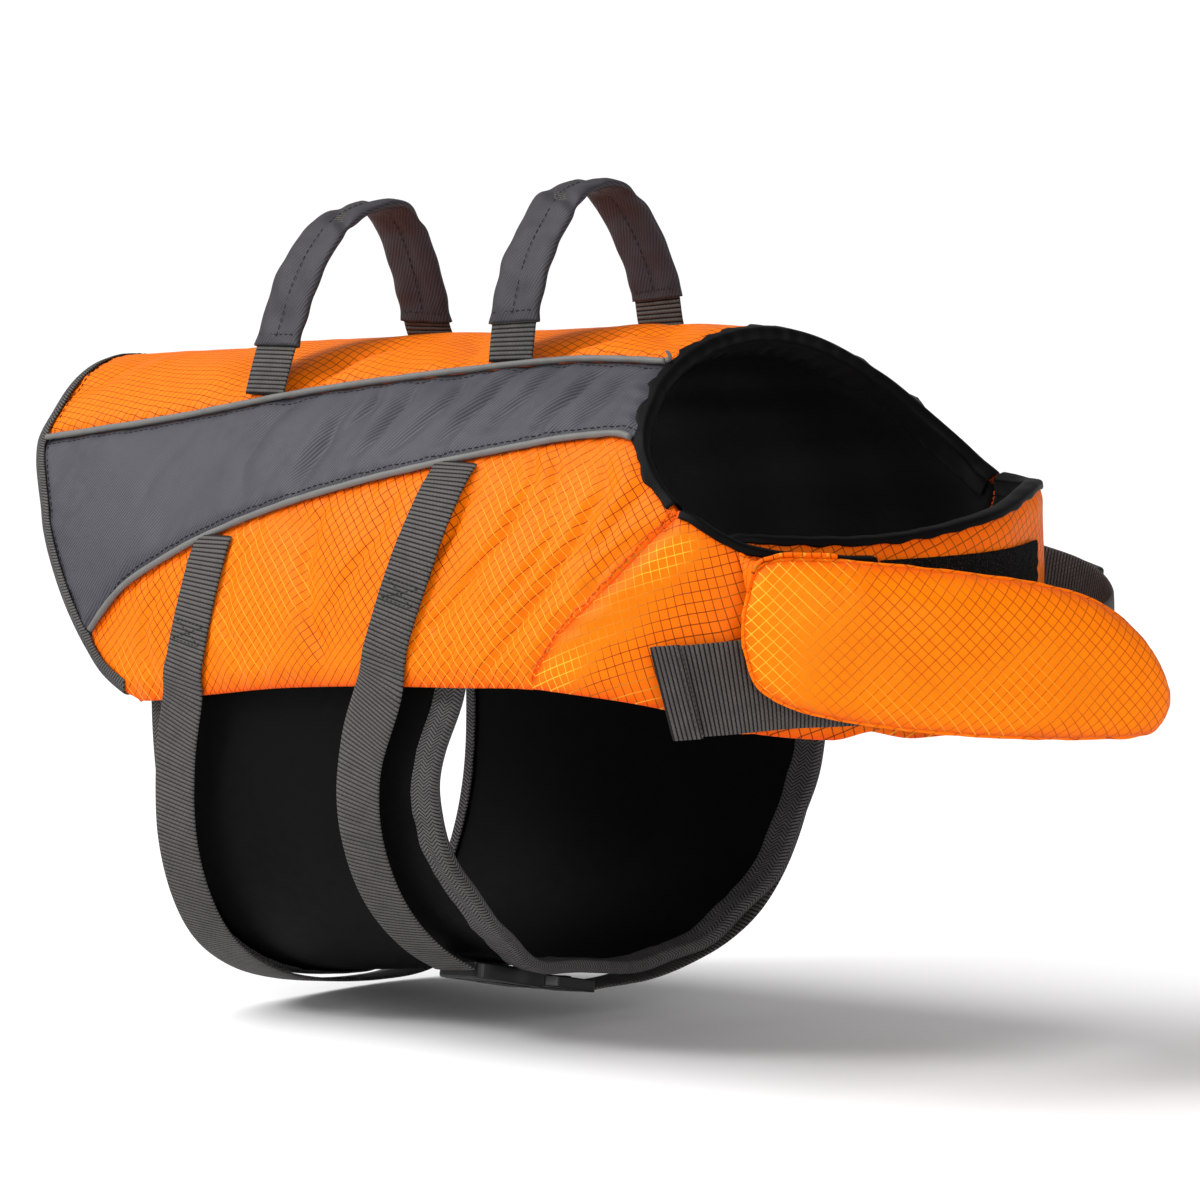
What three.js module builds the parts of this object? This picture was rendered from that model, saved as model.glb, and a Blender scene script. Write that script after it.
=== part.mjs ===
// A dog life jacket, filled out as if worn: padded saddle, chest wings that close under
// the neck, a belly panel, two top handles whose webbing runs on as the belly straps, a
// chest strap and a chin float.
//
// Millimetres, +Z up, +X towards the neck, +Y the dog's left. The origin is where the
// wearer's back carries the lining, half way along the back.
//
// The saddle is one surface with two measures. "along" runs from the tail to the neck in
// millimetres, and past NOSE.start one unit is one degree round the front of the chest.
// "girth" runs from 0 at the ridge of the back to 1 at the hem on either side.
import * as THREE from "three";

const RIGHT = -1;
const LEFT = 1;
const GAP = 0.35; // between pieces at a seam, and between layers
const LINING = 1.2;
const NOSE = { start: 190, reach: 107 }; // the chest's plan is a half ellipse from here

// Half width, ridge and hem height of the saddle, by the measure along.
const SECTIONS = [
  { along: -220, half: 94, ridge: -6.5, hem: -138 },
  { along: -130, half: 111, ridge: 1, hem: -146.5 },
  { along: -85, half: 119, ridge: 6, hem: -149.5 },
  { along: -34, half: 126, ridge: 10.5, hem: -142.5 },
  { along: 23, half: 133, ridge: 14.5, hem: -134.5 },
  { along: 128, half: 139, ridge: 22, hem: -126.5 },
  { along: 195, half: 139.5, ridge: 24.5, hem: -124.5 },
  { along: 218, half: 139.5, ridge: 24.5, hem: -129.5 },
  { along: 232, half: 139.5, ridge: 24.5, hem: -138 },
  { along: 270, half: 139.5, ridge: 24.5, hem: -146 },
  { along: 330, half: 139.5, ridge: 24.5, hem: -146 },
];

// The saddle's two ends, by girth: the tail edge, and the neck rim with the dart below it.
const ENDS = [
  { girth: 0, tail: -212, front: 183 },
  { girth: 0.25, tail: -204, front: 186 },
  { girth: 0.38, tail: -199, front: 191.5 },
  { girth: 0.47, tail: -197, front: 195.5 },
  { girth: 0.53, tail: -191, front: 200 },
  { girth: 0.6, tail: -181, front: 208 },
  { girth: 0.64, tail: -175, front: 214 },
  { girth: 0.7, tail: -167, front: 210 },
  { girth: 0.78, tail: -153, front: 203.5 },
  { girth: 0.86, tail: -136, front: 195 },
  { girth: 0.92, tail: -120, front: 187 },
  { girth: 0.96, tail: -106, front: 181 },
  { girth: 1, tail: -80, front: 177 },
];
const DART_TOP = 0.64; // girth at which the dart leaves the neck rim

// Where the piping above and below the grey side band lies, from the tail to the neck.
const TOP_SEAM = [
  { share: 0, girth: 0.47 },
  { share: 0.13, girth: 0.43 },
  { share: 0.28, girth: 0.39 },
  { share: 0.5, girth: 0.33 },
  { share: 0.74, girth: 0.275 },
  { share: 0.85, girth: 0.255 },
  { share: 1, girth: 0.265 },
];
const LOW_SEAM = [
  { share: 0, girth: 0.91 },
  { share: 0.07, girth: 0.8 },
  { share: 0.14, girth: 0.745 },
  { share: 0.28, girth: 0.68 },
  { share: 0.5, girth: 0.605 },
  { share: 0.73, girth: 0.54 },
  { share: 0.9, girth: 0.495 },
  { share: 0.96, girth: 0.49 },
  { share: 1, girth: 0.515 },
];

// Upper edge of each chest wing, by the measure along.
const WING_TOP = {
  [RIGHT]: [
    { along: 205, girth: 0.635 },
    { along: 217, girth: 0.645 },
    { along: 226, girth: 0.668 },
    { along: 236, girth: 0.69 },
    { along: 264, girth: 0.705 },
  ],
  [LEFT]: [
    { along: 205, girth: 0.625 },
    { along: 222, girth: 0.625 },
    { along: 245, girth: 0.607 },
    { along: 265, girth: 0.635 },
    { along: 290, girth: 0.665 },
    { along: 315, girth: 0.662 },
    { along: 336, girth: 0.648 },
  ],
};
const WING_END = { [RIGHT]: 262, [LEFT]: 334 };

// The largest creases of the padded cloth: a valley from one point to another.
const CREASES = [
  { along: 187, girth: 0.53, toAlong: 112, toGirth: 0.9, depth: 2.6, width: 12 },
  { along: 203, girth: 0.62, toAlong: 160, toGirth: 0.92, depth: 2.4, width: 11 },
  { along: 140, girth: 0.57, toAlong: 104, toGirth: 0.84, depth: 2, width: 11 },
  { along: 18, girth: 0.66, toAlong: 52, toGirth: 0.94, depth: 2.4, width: 12 },
  { along: 44, girth: 0.37, toAlong: 4, toGirth: 0.58, depth: 1.8, width: 11 },
  { along: -34, girth: 0.42, toAlong: -86, toGirth: 0.68, depth: 1.8, width: 12 },
];
const GIRTH_MM = 225; // from the ridge to the hem

const PADDING = { saddle: 9, wing: 3.8, edge: 1.8 }; // depth of the shell's inner face
const PINCH = { depth: 1.8, reach: 9 };

const BELLY = { thickness: 3, bindingWidth: 12, squareness: 2.6, farDrop: 13 };
const BELLY_SECTIONS = [
  { along: -84, half: 107.5, top: -150, bottom: -284 },
  { along: -40, half: 113, top: -143, bottom: -279.5 },
  { along: 60, half: 122.5, top: -132, bottom: -268.5 },
  { along: 104, half: 126, top: -129, bottom: -267 },
];
// Where the belly panel starts and stops; turn runs from the right flank to the left.
const BELLY_ENDS = [
  { turn: 0, rear: -80, front: 123 },
  { turn: 8, rear: -79, front: 111 },
  { turn: 18, rear: -79, front: 103 },
  { turn: 34, rear: -80, front: 105 },
  { turn: 50, rear: -82, front: 107 },
  { turn: 70, rear: -84, front: 97 },
  { turn: 92, rear: -85, front: 91 },
  { turn: 115, rear: -86, front: 95 },
  { turn: 138, rear: -86, front: 105 },
  { turn: 154, rear: -84, front: 112 },
  { turn: 168, rear: -84, front: 116 },
  { turn: 180, rear: -85, front: 120 },
];

const WEBBING = { width: 25, thickness: 1.7 };
const CHEST_WEBBING = { width: 38, thickness: 1.9 };
const SLEEVE = { width: 29, thickness: 5.2 };

// Each handle's arch from its right leg over to its left leg, which leans inwards. The
// sleeve starts and ends at the given heights.
const HANDLES = {
  rear: { along: -52, lean: 2, seat: 0.12, sleeve: { right: 8, left: 14 } },
  front: { along: 89, lean: -13, seat: 0.38, sleeve: { right: 24, left: 30 } },
};
const ARCHES = {
  rear: [
    { across: -58, height: 7 },
    { across: -52.5, height: 20 },
    { across: -45, height: 36 },
    { across: -36, height: 50 },
    { across: -22, height: 62 },
    { across: -5, height: 68.5 },
    { across: 11, height: 68 },
    { across: 23, height: 58 },
    { across: 31, height: 43 },
    { across: 37.5, height: 26 },
    { across: 44, height: 8 },
  ],
  front: [
    { across: -50.5, height: 28 },
    { across: -44, height: 42 },
    { across: -34, height: 57 },
    { across: -20, height: 70 },
    { across: -5, height: 79 },
    { across: 9, height: 83 },
    { across: 21, height: 79 },
    { across: 31, height: 68 },
    { across: 38, height: 53 },
    { across: 43, height: 35 },
    { across: 46, height: 16 },
  ],
};

// Each belly strap below the hem: its drift along the jacket and its lift off the belly.
const STRAPS = {
  rear: [
    { turn: 7, along: -55, lift: 9.5 },
    { turn: 16, along: -60, lift: 9 },
    { turn: 30, along: -64, lift: 9 },
    { turn: 50, along: -70, lift: 8.5 },
    { turn: 72, along: -75, lift: 6 },
    { turn: 96, along: -77, lift: 5 },
    { turn: 128, along: -74, lift: 11.6 },
    { turn: 156, along: -64, lift: 11.6 },
    { turn: 173, along: -55, lift: 10 },
  ],
  front: [
    { turn: 7, along: 71, lift: 8.5 },
    { turn: 16, along: 64, lift: 8 },
    { turn: 30, along: 60, lift: 7.5 },
    { turn: 50, along: 58, lift: 7.5 },
    { turn: 68, along: 61, lift: 9 },
    { turn: 92, along: 70, lift: 9 },
    { turn: 112, along: 81, lift: 5 },
    { turn: 132, along: 90, lift: 5 },
    { turn: 150, along: 94, lift: 5.5 },
    { turn: 165, along: 95, lift: 7.5 },
    { turn: 173, along: 94, lift: 8.5 },
  ],
};
const STRAP_TOPS = { rear: { seam: -37, hem: -46 }, front: { seam: 105, hem: 88 } };
const BUCKLE_SPAN = { rear: [128, 156], front: [68, 92] }; // turns between its two ends
const BUCKLE_EASE = { rear: 4.6, front: 2 }; // free length at each end
const BUCKLE = { width: 32, thickness: 7.5, slot: 26.6 };
const CHEST_BUCKLE = { length: 56, width: 50, thickness: 10, slot: 40 };

const ORANGE = { color: 0xff7a0a, roughness: 0.55, metalness: 0 };
const BAND_GREY = { color: 0x54545c, roughness: 0.6, metalness: 0 };
const WEB_GREY = { color: 0x4a4846, roughness: 0.8, metalness: 0 };
const PIPING_GREY = { color: 0x74726e, roughness: 0.45, metalness: 0 };
const BLACK_CLOTH = { color: 0x0c0c0d, roughness: 0.7, metalness: 0 };
const BLACK_PLASTIC = { color: 0x141212, roughness: 0.35, metalness: 0 };

const jacket = new THREE.Group();

function add(name, geometry, finish) {
  const mesh = new THREE.Mesh(geometry, new THREE.MeshStandardMaterial(finish));
  mesh.name = name;
  jacket.add(mesh);
}

const mix = (a, b, t) => a + (b - a) * t;
const clamp01 = (t) => Math.min(1, Math.max(0, t));
const ease = (t) => clamp01(t) ** 2 * (3 - 2 * clamp01(t));
const steps = (count, from = 0, to = 1) =>
  Array.from({ length: count + 1 }, (_, i) => mix(from, to, i / count));

// A smooth curve through one column of a table, read at a value of its key column.
function read(table, key, column, at) {
  const last = table.length - 1;
  let i = 0;
  while (i < last - 1 && at > table[i + 1][key]) i += 1;
  const slope = (a, b) => (table[b][column] - table[a][column]) / (table[b][key] - table[a][key]);
  const span = table[i + 1][key] - table[i][key];
  const t = clamp01((at - table[i][key]) / span);
  const here = slope(i, i + 1);
  const into = i > 0 ? (slope(i - 1, i) + here) / 2 : here;
  const out = i < last - 1 ? (here + slope(i + 1, i + 2)) / 2 : here;
  const t2 = t * t;
  const t3 = t2 * t;
  return (
    table[i][column] * (2 * t3 - 3 * t2 + 1) +
    into * span * (t3 - 2 * t2 + t) +
    table[i + 1][column] * (3 * t2 - 2 * t3) +
    out * span * (t3 - t2)
  );
}

const tailAt = (girth) => read(ENDS, "girth", "tail", girth);
const frontAt = (girth) => read(ENDS, "girth", "front", girth);
const topSeam = (share) => read(TOP_SEAM, "share", "girth", share);
const lowSeam = (share) => read(LOW_SEAM, "share", "girth", share);

// Millimetres along, with the degrees round the chest turned into their length, and back.
const DEGREE = 1.95;
const lengthAt = (along) => along + Math.max(0, along - NOSE.start) * (DEGREE - 1);
const alongAt = (length) => length - Math.max(0, length - NOSE.start) * (1 - 1 / DEGREE);
const between = (tail, front, share) => alongAt(mix(tail, lengthAt(front), share));

// The along and girth of a point on either band seam, by its share from tail to neck.
function seamPoint(seam, share) {
  return { along: between(tailAt(seam(0)), frontAt(seam(1)), share), girth: seam(share) };
}

const step = 0.01;
const tailSlope = (girth) => (tailAt(girth + step) - tailAt(girth - step)) / (2 * step * GIRTH_MM);
const frontSlope = (girth) =>
  (lengthAt(frontAt(girth + step)) - lengthAt(frontAt(girth - step))) / (2 * step * GIRTH_MM);
const fromTail = (along, girth) => (along - tailAt(girth)) / Math.hypot(1, tailSlope(girth));
const fromFront = (along, girth) =>
  (lengthAt(frontAt(girth)) - lengthAt(along)) / Math.hypot(1, frontSlope(girth));

// The unpadded surface: quarter ellipses, bent round the chest past NOSE.start.
function surface(along, girth, side) {
  const round = THREE.MathUtils.degToRad(Math.max(0, along - NOSE.start));
  const half = read(SECTIONS, "along", "half", along);
  const ridge = read(SECTIONS, "along", "ridge", along);
  const hem = read(SECTIONS, "along", "hem", along);
  const angle = (girth * Math.PI) / 2;
  const upright = ease((Math.min(along, 560 - along) - 206) / 35);
  const spread = mix(Math.sin(angle), 1, upright);
  return new THREE.Vector3(
    along < NOSE.start ? along : NOSE.start + NOSE.reach * Math.sin(round),
    side * half * Math.cos(round) * spread,
    ridge - (ridge - hem) * (1 - Math.cos(angle)),
  );
}

function outward(along, girth, side) {
  const down = surface(along, girth + 0.004, side).sub(surface(along, girth - 0.004, side));
  const forward = surface(along + 1, girth, side).sub(surface(along - 1, girth, side));
  const normal = new THREE.Vector3().crossVectors(forward, down).normalize();
  return normal.multiplyScalar(side);
}

// Distance of a point from a crease's line, and how far along the line it lies.
function creaseAt(crease, along, girth) {
  const start = new THREE.Vector2(crease.along, crease.girth * GIRTH_MM);
  const run = new THREE.Vector2(crease.toAlong, crease.toGirth * GIRTH_MM).sub(start);
  const point = new THREE.Vector2(along, girth * GIRTH_MM).sub(start);
  const share = point.dot(run) / run.lengthSq();
  const away = Math.abs(point.cross(run)) / run.length();
  return { share, away };
}

function creaseDepth(along, girth) {
  let depth = 0;
  for (const crease of CREASES) {
    const { share, away } = creaseAt(crease, along, girth);
    const fade = ease(share / 0.25 + 0.6) * ease((1.15 - share) / 0.3);
    depth += crease.depth * fade * Math.exp(-((away / crease.width) ** 2));
  }
  return depth;
}

const TOP_ENDS = [tailAt(topSeam(0)), lengthAt(frontAt(topSeam(1)))];
const LOW_ENDS = [tailAt(lowSeam(0)), lengthAt(frontAt(lowSeam(1)))];
const shareOf = ([tail, front], along) => clamp01((lengthAt(along) - tail) / (front - tail));
const lowShare = (along) => shareOf(LOW_ENDS, along);

function lowSlope(along) {
  const [before, after] = [along - 4, along + 4].map(lowShare);
  const run = (after - before) * (LOW_ENDS[1] - LOW_ENDS[0]);
  return ((lowSeam(after) - lowSeam(before)) * GIRTH_MM) / Math.max(run, 1);
}

// How far in the outer cloth lies: pinched at its edges and seams, and creased between.
function skinDepth(along, girth) {
  const top = topSeam(shareOf(TOP_ENDS, along));
  const away = [
    fromTail(along, girth),
    (1 - girth) * GIRTH_MM,
    Math.abs(girth - top) * GIRTH_MM,
    Math.abs(fromFront(along, girth)),
  ];
  if (along > LOW_ENDS[0] - 3) {
    const drop = Math.abs(girth - lowSeam(lowShare(along))) * GIRTH_MM;
    away.push(drop / Math.hypot(1, lowSlope(along)));
  }
  const seam = 1 - ease(Math.min(...away) / PINCH.reach);
  return PINCH.depth * seam + creaseDepth(along, girth) * (1 - seam);
}

// Depth of the padding's inner face: thin at the tail edge, the neck rim and the hem.
function padDepth(along, girth) {
  const toRim = fromFront(along, girth) + 20 * ease((girth - 0.57) / (DART_TOP - 0.57));
  const inFrom = Math.min(fromTail(along, girth), (1 - girth) * GIRTH_MM, toRim);
  const full = mix(PADDING.saddle, PADDING.wing + PINCH.depth, ease((along - 165) / 45));
  return mix(PINCH.depth + PADDING.edge, full, ease(inFrom / 16));
}

// A point of the jacket at a depth below the unpadded surface.
function at(along, girth, side, depth) {
  return surface(along, girth, side).addScaledVector(outward(along, girth, side), -depth);
}

function indexed(points, faces) {
  const geometry = new THREE.BufferGeometry();
  const flat = points.flatMap((p) => [p.x, p.y, p.z]);
  let volume = 0;
  for (const [a, b, c] of faces) {
    volume += points[a].dot(new THREE.Vector3().crossVectors(points[b], points[c]));
  }
  const turned = volume < 0 ? faces.map(([a, b, c]) => [a, c, b]) : faces;
  geometry.setAttribute("position", new THREE.Float32BufferAttribute(flat, 3));
  geometry.setIndex(turned.flat());
  geometry.computeVertexNormals();
  return geometry;
}

// A closed wall between two grids of points with the same rows and columns.
function wall(outer, inner) {
  const rows = outer.length;
  const columns = outer[0].length;
  const points = [...outer.flat(), ...inner.flat()];
  const faces = [];
  const id = (layer, i, j) => layer * rows * columns + i * columns + j;
  const quad = (a, b, c, d) => faces.push([a, b, c], [a, c, d]);
  for (let i = 0; i < rows - 1; i += 1) {
    for (let j = 0; j < columns - 1; j += 1) {
      quad(id(0, i, j), id(0, i + 1, j), id(0, i + 1, j + 1), id(0, i, j + 1));
      quad(id(1, i, j), id(1, i, j + 1), id(1, i + 1, j + 1), id(1, i + 1, j));
    }
  }
  for (let i = 0; i < rows - 1; i += 1) {
    quad(id(0, i, 0), id(1, i, 0), id(1, i + 1, 0), id(0, i + 1, 0));
    const j = columns - 1;
    quad(id(0, i, j), id(0, i + 1, j), id(1, i + 1, j), id(1, i, j));
  }
  for (let j = 0; j < columns - 1; j += 1) {
    quad(id(0, 0, j), id(0, 0, j + 1), id(1, 0, j + 1), id(1, 0, j));
    const i = rows - 1;
    quad(id(0, i, j), id(1, i, j), id(1, i, j + 1), id(0, i, j + 1));
  }
  return indexed(points, faces);
}

// A closed tube through rings of points; the flat section gives the end caps.
function loft(rings, section) {
  const count = section.length;
  const faces = [];
  for (let i = 0; i < rings.length - 1; i += 1) {
    for (let j = 0; j < count; j += 1) {
      const k = (j + 1) % count;
      const [a, b, c, d] = [i * count + j, i * count + k, (i + 1) * count + k, (i + 1) * count + j];
      faces.push([a, b, c], [a, c, d]);
    }
  }
  const cap = THREE.ShapeUtils.triangulateShape(section, []);
  const end = (rings.length - 1) * count;
  const positive = THREE.ShapeUtils.area(section) > 0;
  for (const [a, b, c] of cap) {
    faces.push(positive ? [a, c, b] : [a, b, c]);
    faces.push(positive ? [end + a, end + b, end + c] : [end + a, end + c, end + b]);
  }
  return indexed(rings.flat(), faces);
}

const section2 = (pairs) => pairs.map(([x, y]) => new THREE.Vector2(x, y));

// A flat band of webbing: centre points, each with its width and face directions.
function band(stations, width, thickness) {
  const [w, t] = [width / 2, thickness / 2];
  const section = section2([[-w, -t], [w, -t], [w, t], [-w, t]]);
  const rings = stations.map(({ centre, across, face }) =>
    section.map((p) => centre.clone().addScaledVector(across, p.x).addScaledVector(face, p.y)),
  );
  return loft(rings, section);
}

// Gives each centre point a face direction square to the run and to the given width.
function stationsAlong(centres, acrossAt) {
  return centres.map((centre, i) => {
    const next = centres[Math.min(i + 1, centres.length - 1)];
    const previous = centres[Math.max(i - 1, 0)];
    const run = next.clone().sub(previous).normalize();
    const wanted = acrossAt(i);
    const across = wanted.clone().addScaledVector(run, -wanted.dot(run)).normalize();
    return { centre, across, face: new THREE.Vector3().crossVectors(run, across).normalize() };
  });
}

function roundSection(width, thickness, corner, perCorner = 2) {
  const points = [];
  const [w, t] = [width / 2 - corner, thickness / 2 - corner];
  const corners = [[w, t, 0], [-w, t, 90], [-w, -t, 180], [w, -t, 270]];
  for (const [x, y, start] of corners) {
    for (const turn of steps(perCorner, start, start + 90)) {
      const angle = THREE.MathUtils.degToRad(turn);
      points.push([x + corner * Math.cos(angle), y + corner * Math.sin(angle)]);
    }
  }
  return section2(points);
}

// Even steps with closer ones at both ends, where the cloth is pinched.
function edgedSteps(count, length) {
  const ends = [0, 5 / length, 13 / length];
  const middle = steps(count - 4, ends[2], 1 - ends[2]);
  return [ends[0], ends[1], ...middle, 1 - ends[1], 1];
}

function shell(lines, columns, place) {
  const grid = (inner) =>
    lines.map((u) =>
      columns.map((v) => {
        const { along, girth, side } = place(u, v);
        const depth = inner ? padDepth(along, girth) : skinDepth(along, girth);
        return at(along, girth, side, depth);
      }),
    );
  return wall(grid(false), grid(true));
}

const SEAM_IN = 0.2; // each panel stops this far short of a seam line
const RIM_GIRTHS = [0.565, 0.6];
const DART_GIRTHS = [DART_TOP, 0.71, 0.79, 0.87, 0.94, 0.975, 1]; // shared along the dart

function backPanel() {
  const place = (u, v) => {
    const girth = Math.abs(v) * (topSeam(u) - SEAM_IN / GIRTH_MM);
    const along = between(tailAt(Math.abs(v) * topSeam(0)), frontAt(Math.abs(v) * topSeam(1)), u);
    return { along, girth, side: v < 0 ? RIGHT : LEFT };
  };
  const half = [0, 0.34, 0.66, 0.9, 1];
  const columns = [...half.slice(1).map((v) => -v).reverse(), ...half];
  return shell(edgedSteps(20, 390), columns, place);
}

function bandPanel(side) {
  const place = (u, v) => {
    const inset = SEAM_IN / GIRTH_MM;
    const girth = mix(topSeam(u) + inset, lowSeam(u) - inset, v);
    const tail = tailAt(mix(topSeam(0), lowSeam(0), v));
    const front = frontAt(mix(topSeam(1), lowSeam(1), v));
    return { along: between(tail, front, u), girth, side };
  };
  return shell(edgedSteps(21, 350), [0, 0.1, 0.36, 0.64, 0.9, 1], place);
}

function sidePanel(side) {
  const place = (u, v) => {
    const girth = mix(lowSeam(u) + SEAM_IN / GIRTH_MM, 1, v);
    const tail = tailAt(mix(lowSeam(0), 1, v));
    const front = frontAt(mix(lowSeam(1), 1, v)) - SEAM_IN;
    return { along: between(tail, front, u), girth, side };
  };
  const columns = [...RIM_GIRTHS, ...DART_GIRTHS].map((girth) => (girth - lowSeam(1)) / (1 - lowSeam(1)));
  return shell(edgedSteps(23, 310), [0, ...columns], place);
}

// How far the left wing tucks in to lie under the right one.
const tuck = (side, along) => (side === LEFT ? 10.6 * ease((along - 262) / 34) : 0);
const wingTop = (side, along) => read(WING_TOP[side], "along", "girth", along);

function wingDepths(along, girth, side, top) {
  const toTop = (girth - top) * GIRTH_MM;
  const toHem = (1 - girth) * GIRTH_MM;
  const toDart = girth > DART_TOP ? Math.abs(fromFront(along, girth)) : 99;
  const away = Math.min(toTop, toHem, toDart, Math.abs(WING_END[side] - along) * 1.9);
  const skin = PINCH.depth * (1 - ease(away / PINCH.reach));
  const inward = tuck(side, along);
  return { skin: skin + inward, pad: PADDING.wing + PINCH.depth + inward };
}

// A wing's rows run from the dart forward, its columns from the upper edge to the hem.
function wingPlace(side, u, girthAtDart) {
  const start = frontAt(girthAtDart) + SEAM_IN;
  const along = mix(start, WING_END[side], u);
  const top = wingTop(side, Math.max(along, 214));
  const share = (girthAtDart - DART_TOP) / (1 - DART_TOP);
  const hem = side === LEFT ? mix(1, 0.98, ease((along - 285) / 15)) : 1;
  return { along, girth: mix(girthAtDart, mix(top, hem, share), ease((along - start) / 5)), top };
}

function wingWall(side, lines, girths, depthsOf) {
  const grid = (layer) =>
    lines.map((u) =>
      girths.map((girthAtDart) => {
        const { along, girth, top } = wingPlace(side, u, girthAtDart);
        return at(along, girth, side, depthsOf(along, girth, top)[layer]);
      }),
    );
  return wall(grid(0), grid(1));
}

const WING_ROWS = { [RIGHT]: edgedSteps(11, 120), [LEFT]: edgedSteps(22, 240) };

function wingPanel(side) {
  return wingWall(side, WING_ROWS[side], DART_GIRTHS, (along, girth, top) => {
    const { skin, pad } = wingDepths(along, girth, side, top);
    return [skin, pad];
  });
}

function wingLining(side) {
  const girths = DART_GIRTHS.filter((_, i) => i % 2 === 0);
  return wingWall(side, WING_ROWS[side], girths, (along, girth, top) => {
    const outer = wingDepths(along, girth, side, top).pad + 2 * GAP;
    return [outer, outer + LINING];
  });
}

const LINING_GAP = 1.2;
const LINING_ROWS = [0, 0.015, 0.036, 0.066, ...steps(11, 0.12, 0.88), 0.934, 0.964, 0.985, 1];

function saddleLining() {
  const half = [0, 0.13, 0.26, 0.38, 0.48, ...RIM_GIRTHS, ...DART_GIRTHS];
  const columns = [...half.slice(1).map((girth) => -girth).reverse(), ...half];
  const grid = (extra) =>
    LINING_ROWS.map((u) =>
      columns.map((v) => {
        const girth = Math.abs(v);
        const side = v < 0 ? RIGHT : LEFT;
        const along = between(tailAt(girth), frontAt(girth) - SEAM_IN, u);
        return at(along, girth, side, padDepth(along, girth) + extra);
      }),
    );
  return wall(grid(LINING_GAP), grid(LINING_GAP + LINING));
}

// Piping: a round cord in the groove of a band seam.
function piping(seam, side, end) {
  const radius = 1.5;
  const shares = steps(24, 0.018, end);
  const centres = shares.map((share) => {
    const { along, girth } = seamPoint(seam, share);
    return at(along, girth, side, PINCH.depth - GAP - radius - 0.25);
  });
  const section = section2(
    steps(4, 0, 288).map((turn) => {
      const angle = THREE.MathUtils.degToRad(turn);
      return [radius * Math.cos(angle), radius * Math.sin(angle)];
    }),
  );
  const stations = stationsAlong(centres, (i) => {
    const { along, girth } = seamPoint(seam, shares[i]);
    return outward(along, girth, side);
  });
  const rings = stations.map(({ centre, across, face }) =>
    section.map((p) => centre.clone().addScaledVector(across, p.x).addScaledVector(face, p.y)),
  );
  return loft(rings, section);
}

// A tape folded over an edge. Each place on the edge gives the point where the tape's outer
// leg ends, the edge itself, and the depths of the cloth it closes over.
const EDGE_GAP = 0.9; // between a tape's fold and the edge inside it

function edgeTape(places, thickness) {
  const rings = places.map(({ outerLeg, edge, innerLeg, beyond }) => {
    const lift = (point, depth) => at(point.along, point.girth, point.side, depth);
    const over = lift(edge, edge.skin).sub(lift(beyond, edge.skin)).setLength(1);
    const past = (depth, out) => lift(edge, depth).addScaledVector(over, out);
    const outer = GAP + 0.2;
    return [
      lift(outerLeg, outerLeg.skin - outer),
      lift(outerLeg, outerLeg.skin - outer - thickness),
      past(edge.skin - outer - thickness, EDGE_GAP + thickness),
      past(edge.pad + EDGE_GAP + thickness, EDGE_GAP + thickness),
      lift(innerLeg, innerLeg.pad + EDGE_GAP + thickness),
      lift(innerLeg, innerLeg.pad + EDGE_GAP),
      past(edge.pad + EDGE_GAP, EDGE_GAP),
      past(edge.skin - outer, EDGE_GAP),
    ];
  });
  const section = section2([[6, 1], [6, 2], [-1, 2], [-1, -2], [6, -2], [6, -1], [0, -1], [0, 1]]);
  return loft(rings, section);
}

const liningDepth = (along, girth) => padDepth(along, girth) + LINING_GAP + LINING;

function tapePlace(edge, inward, legs) {
  const perUnit = edge.along > NOSE.start ? 1.95 : 1;
  const on = (reach) => ({
    along: edge.along + (inward.along * reach) / perUnit,
    girth: Math.abs(edge.girth + (inward.girth * reach) / GIRTH_MM),
    side: edge.side,
  });
  const dressed = (point) => ({
    ...point,
    skin: skinDepth(point.along, point.girth),
    pad: liningDepth(point.along, point.girth),
  });
  return {
    edge: dressed(on(0)),
    outerLeg: dressed(on(legs.outer)),
    innerLeg: dressed(on(legs.inner)),
    beyond: on(1),
  };
}

// The grey tape round the tail edge, from the hem on the right over the back to the left.
function tailTape() {
  const legs = { outer: 5, inner: 8 };
  const places = steps(34, -1, 1).map((v) => {
    const girth = 0.985 * (1 - (1 - Math.abs(v)) ** 1.6);
    const side = v < 0 ? RIGHT : LEFT;
    const slope = tailSlope(girth);
    const length = Math.hypot(1, slope);
    const edge = { along: tailAt(girth), girth, side };
    return tapePlace(edge, { along: 1 / length, girth: -slope / length }, legs);
  });
  return edgeTape(places, 1);
}

// The lining cloth turned out over the neck rim, wider inside than outside.
function neckFacing() {
  const legs = { outer: 5, inner: 11 };
  const places = steps(30, -0.6, 0.6).map((v) => {
    const girth = Math.abs(v);
    const side = v < 0 ? RIGHT : LEFT;
    const slope = frontSlope(girth);
    const length = Math.hypot(1, slope);
    const edge = { along: frontAt(girth), girth, side };
    return tapePlace(edge, { along: -1 / length, girth: slope / length }, legs);
  });
  return edgeTape(places, 0.9);
}

// The same cloth turned over a wing's upper edge.
function wingFacing(side, count) {
  const depthsAt = (along, girth, top) => {
    const { skin, pad } = wingDepths(along, girth, side, top);
    return { skin, pad: pad + 2 * GAP + LINING };
  };
  const places = steps(count, 217.5, WING_END[side] - 1).map((along) => {
    const top = wingTop(side, along);
    const point = (reach) => {
      const girth = top + reach / GIRTH_MM;
      return { along, girth, side, ...depthsAt(along, girth, top) };
    };
    const [outerLeg, innerLeg] = side === RIGHT ? [3.5, 7] : [2, 7];
    return {
      edge: point(0),
      outerLeg: point(outerLeg),
      innerLeg: point(innerLeg),
      beyond: point(1),
    };
  });
  return edgeTape(places, 0.9);
}

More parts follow.
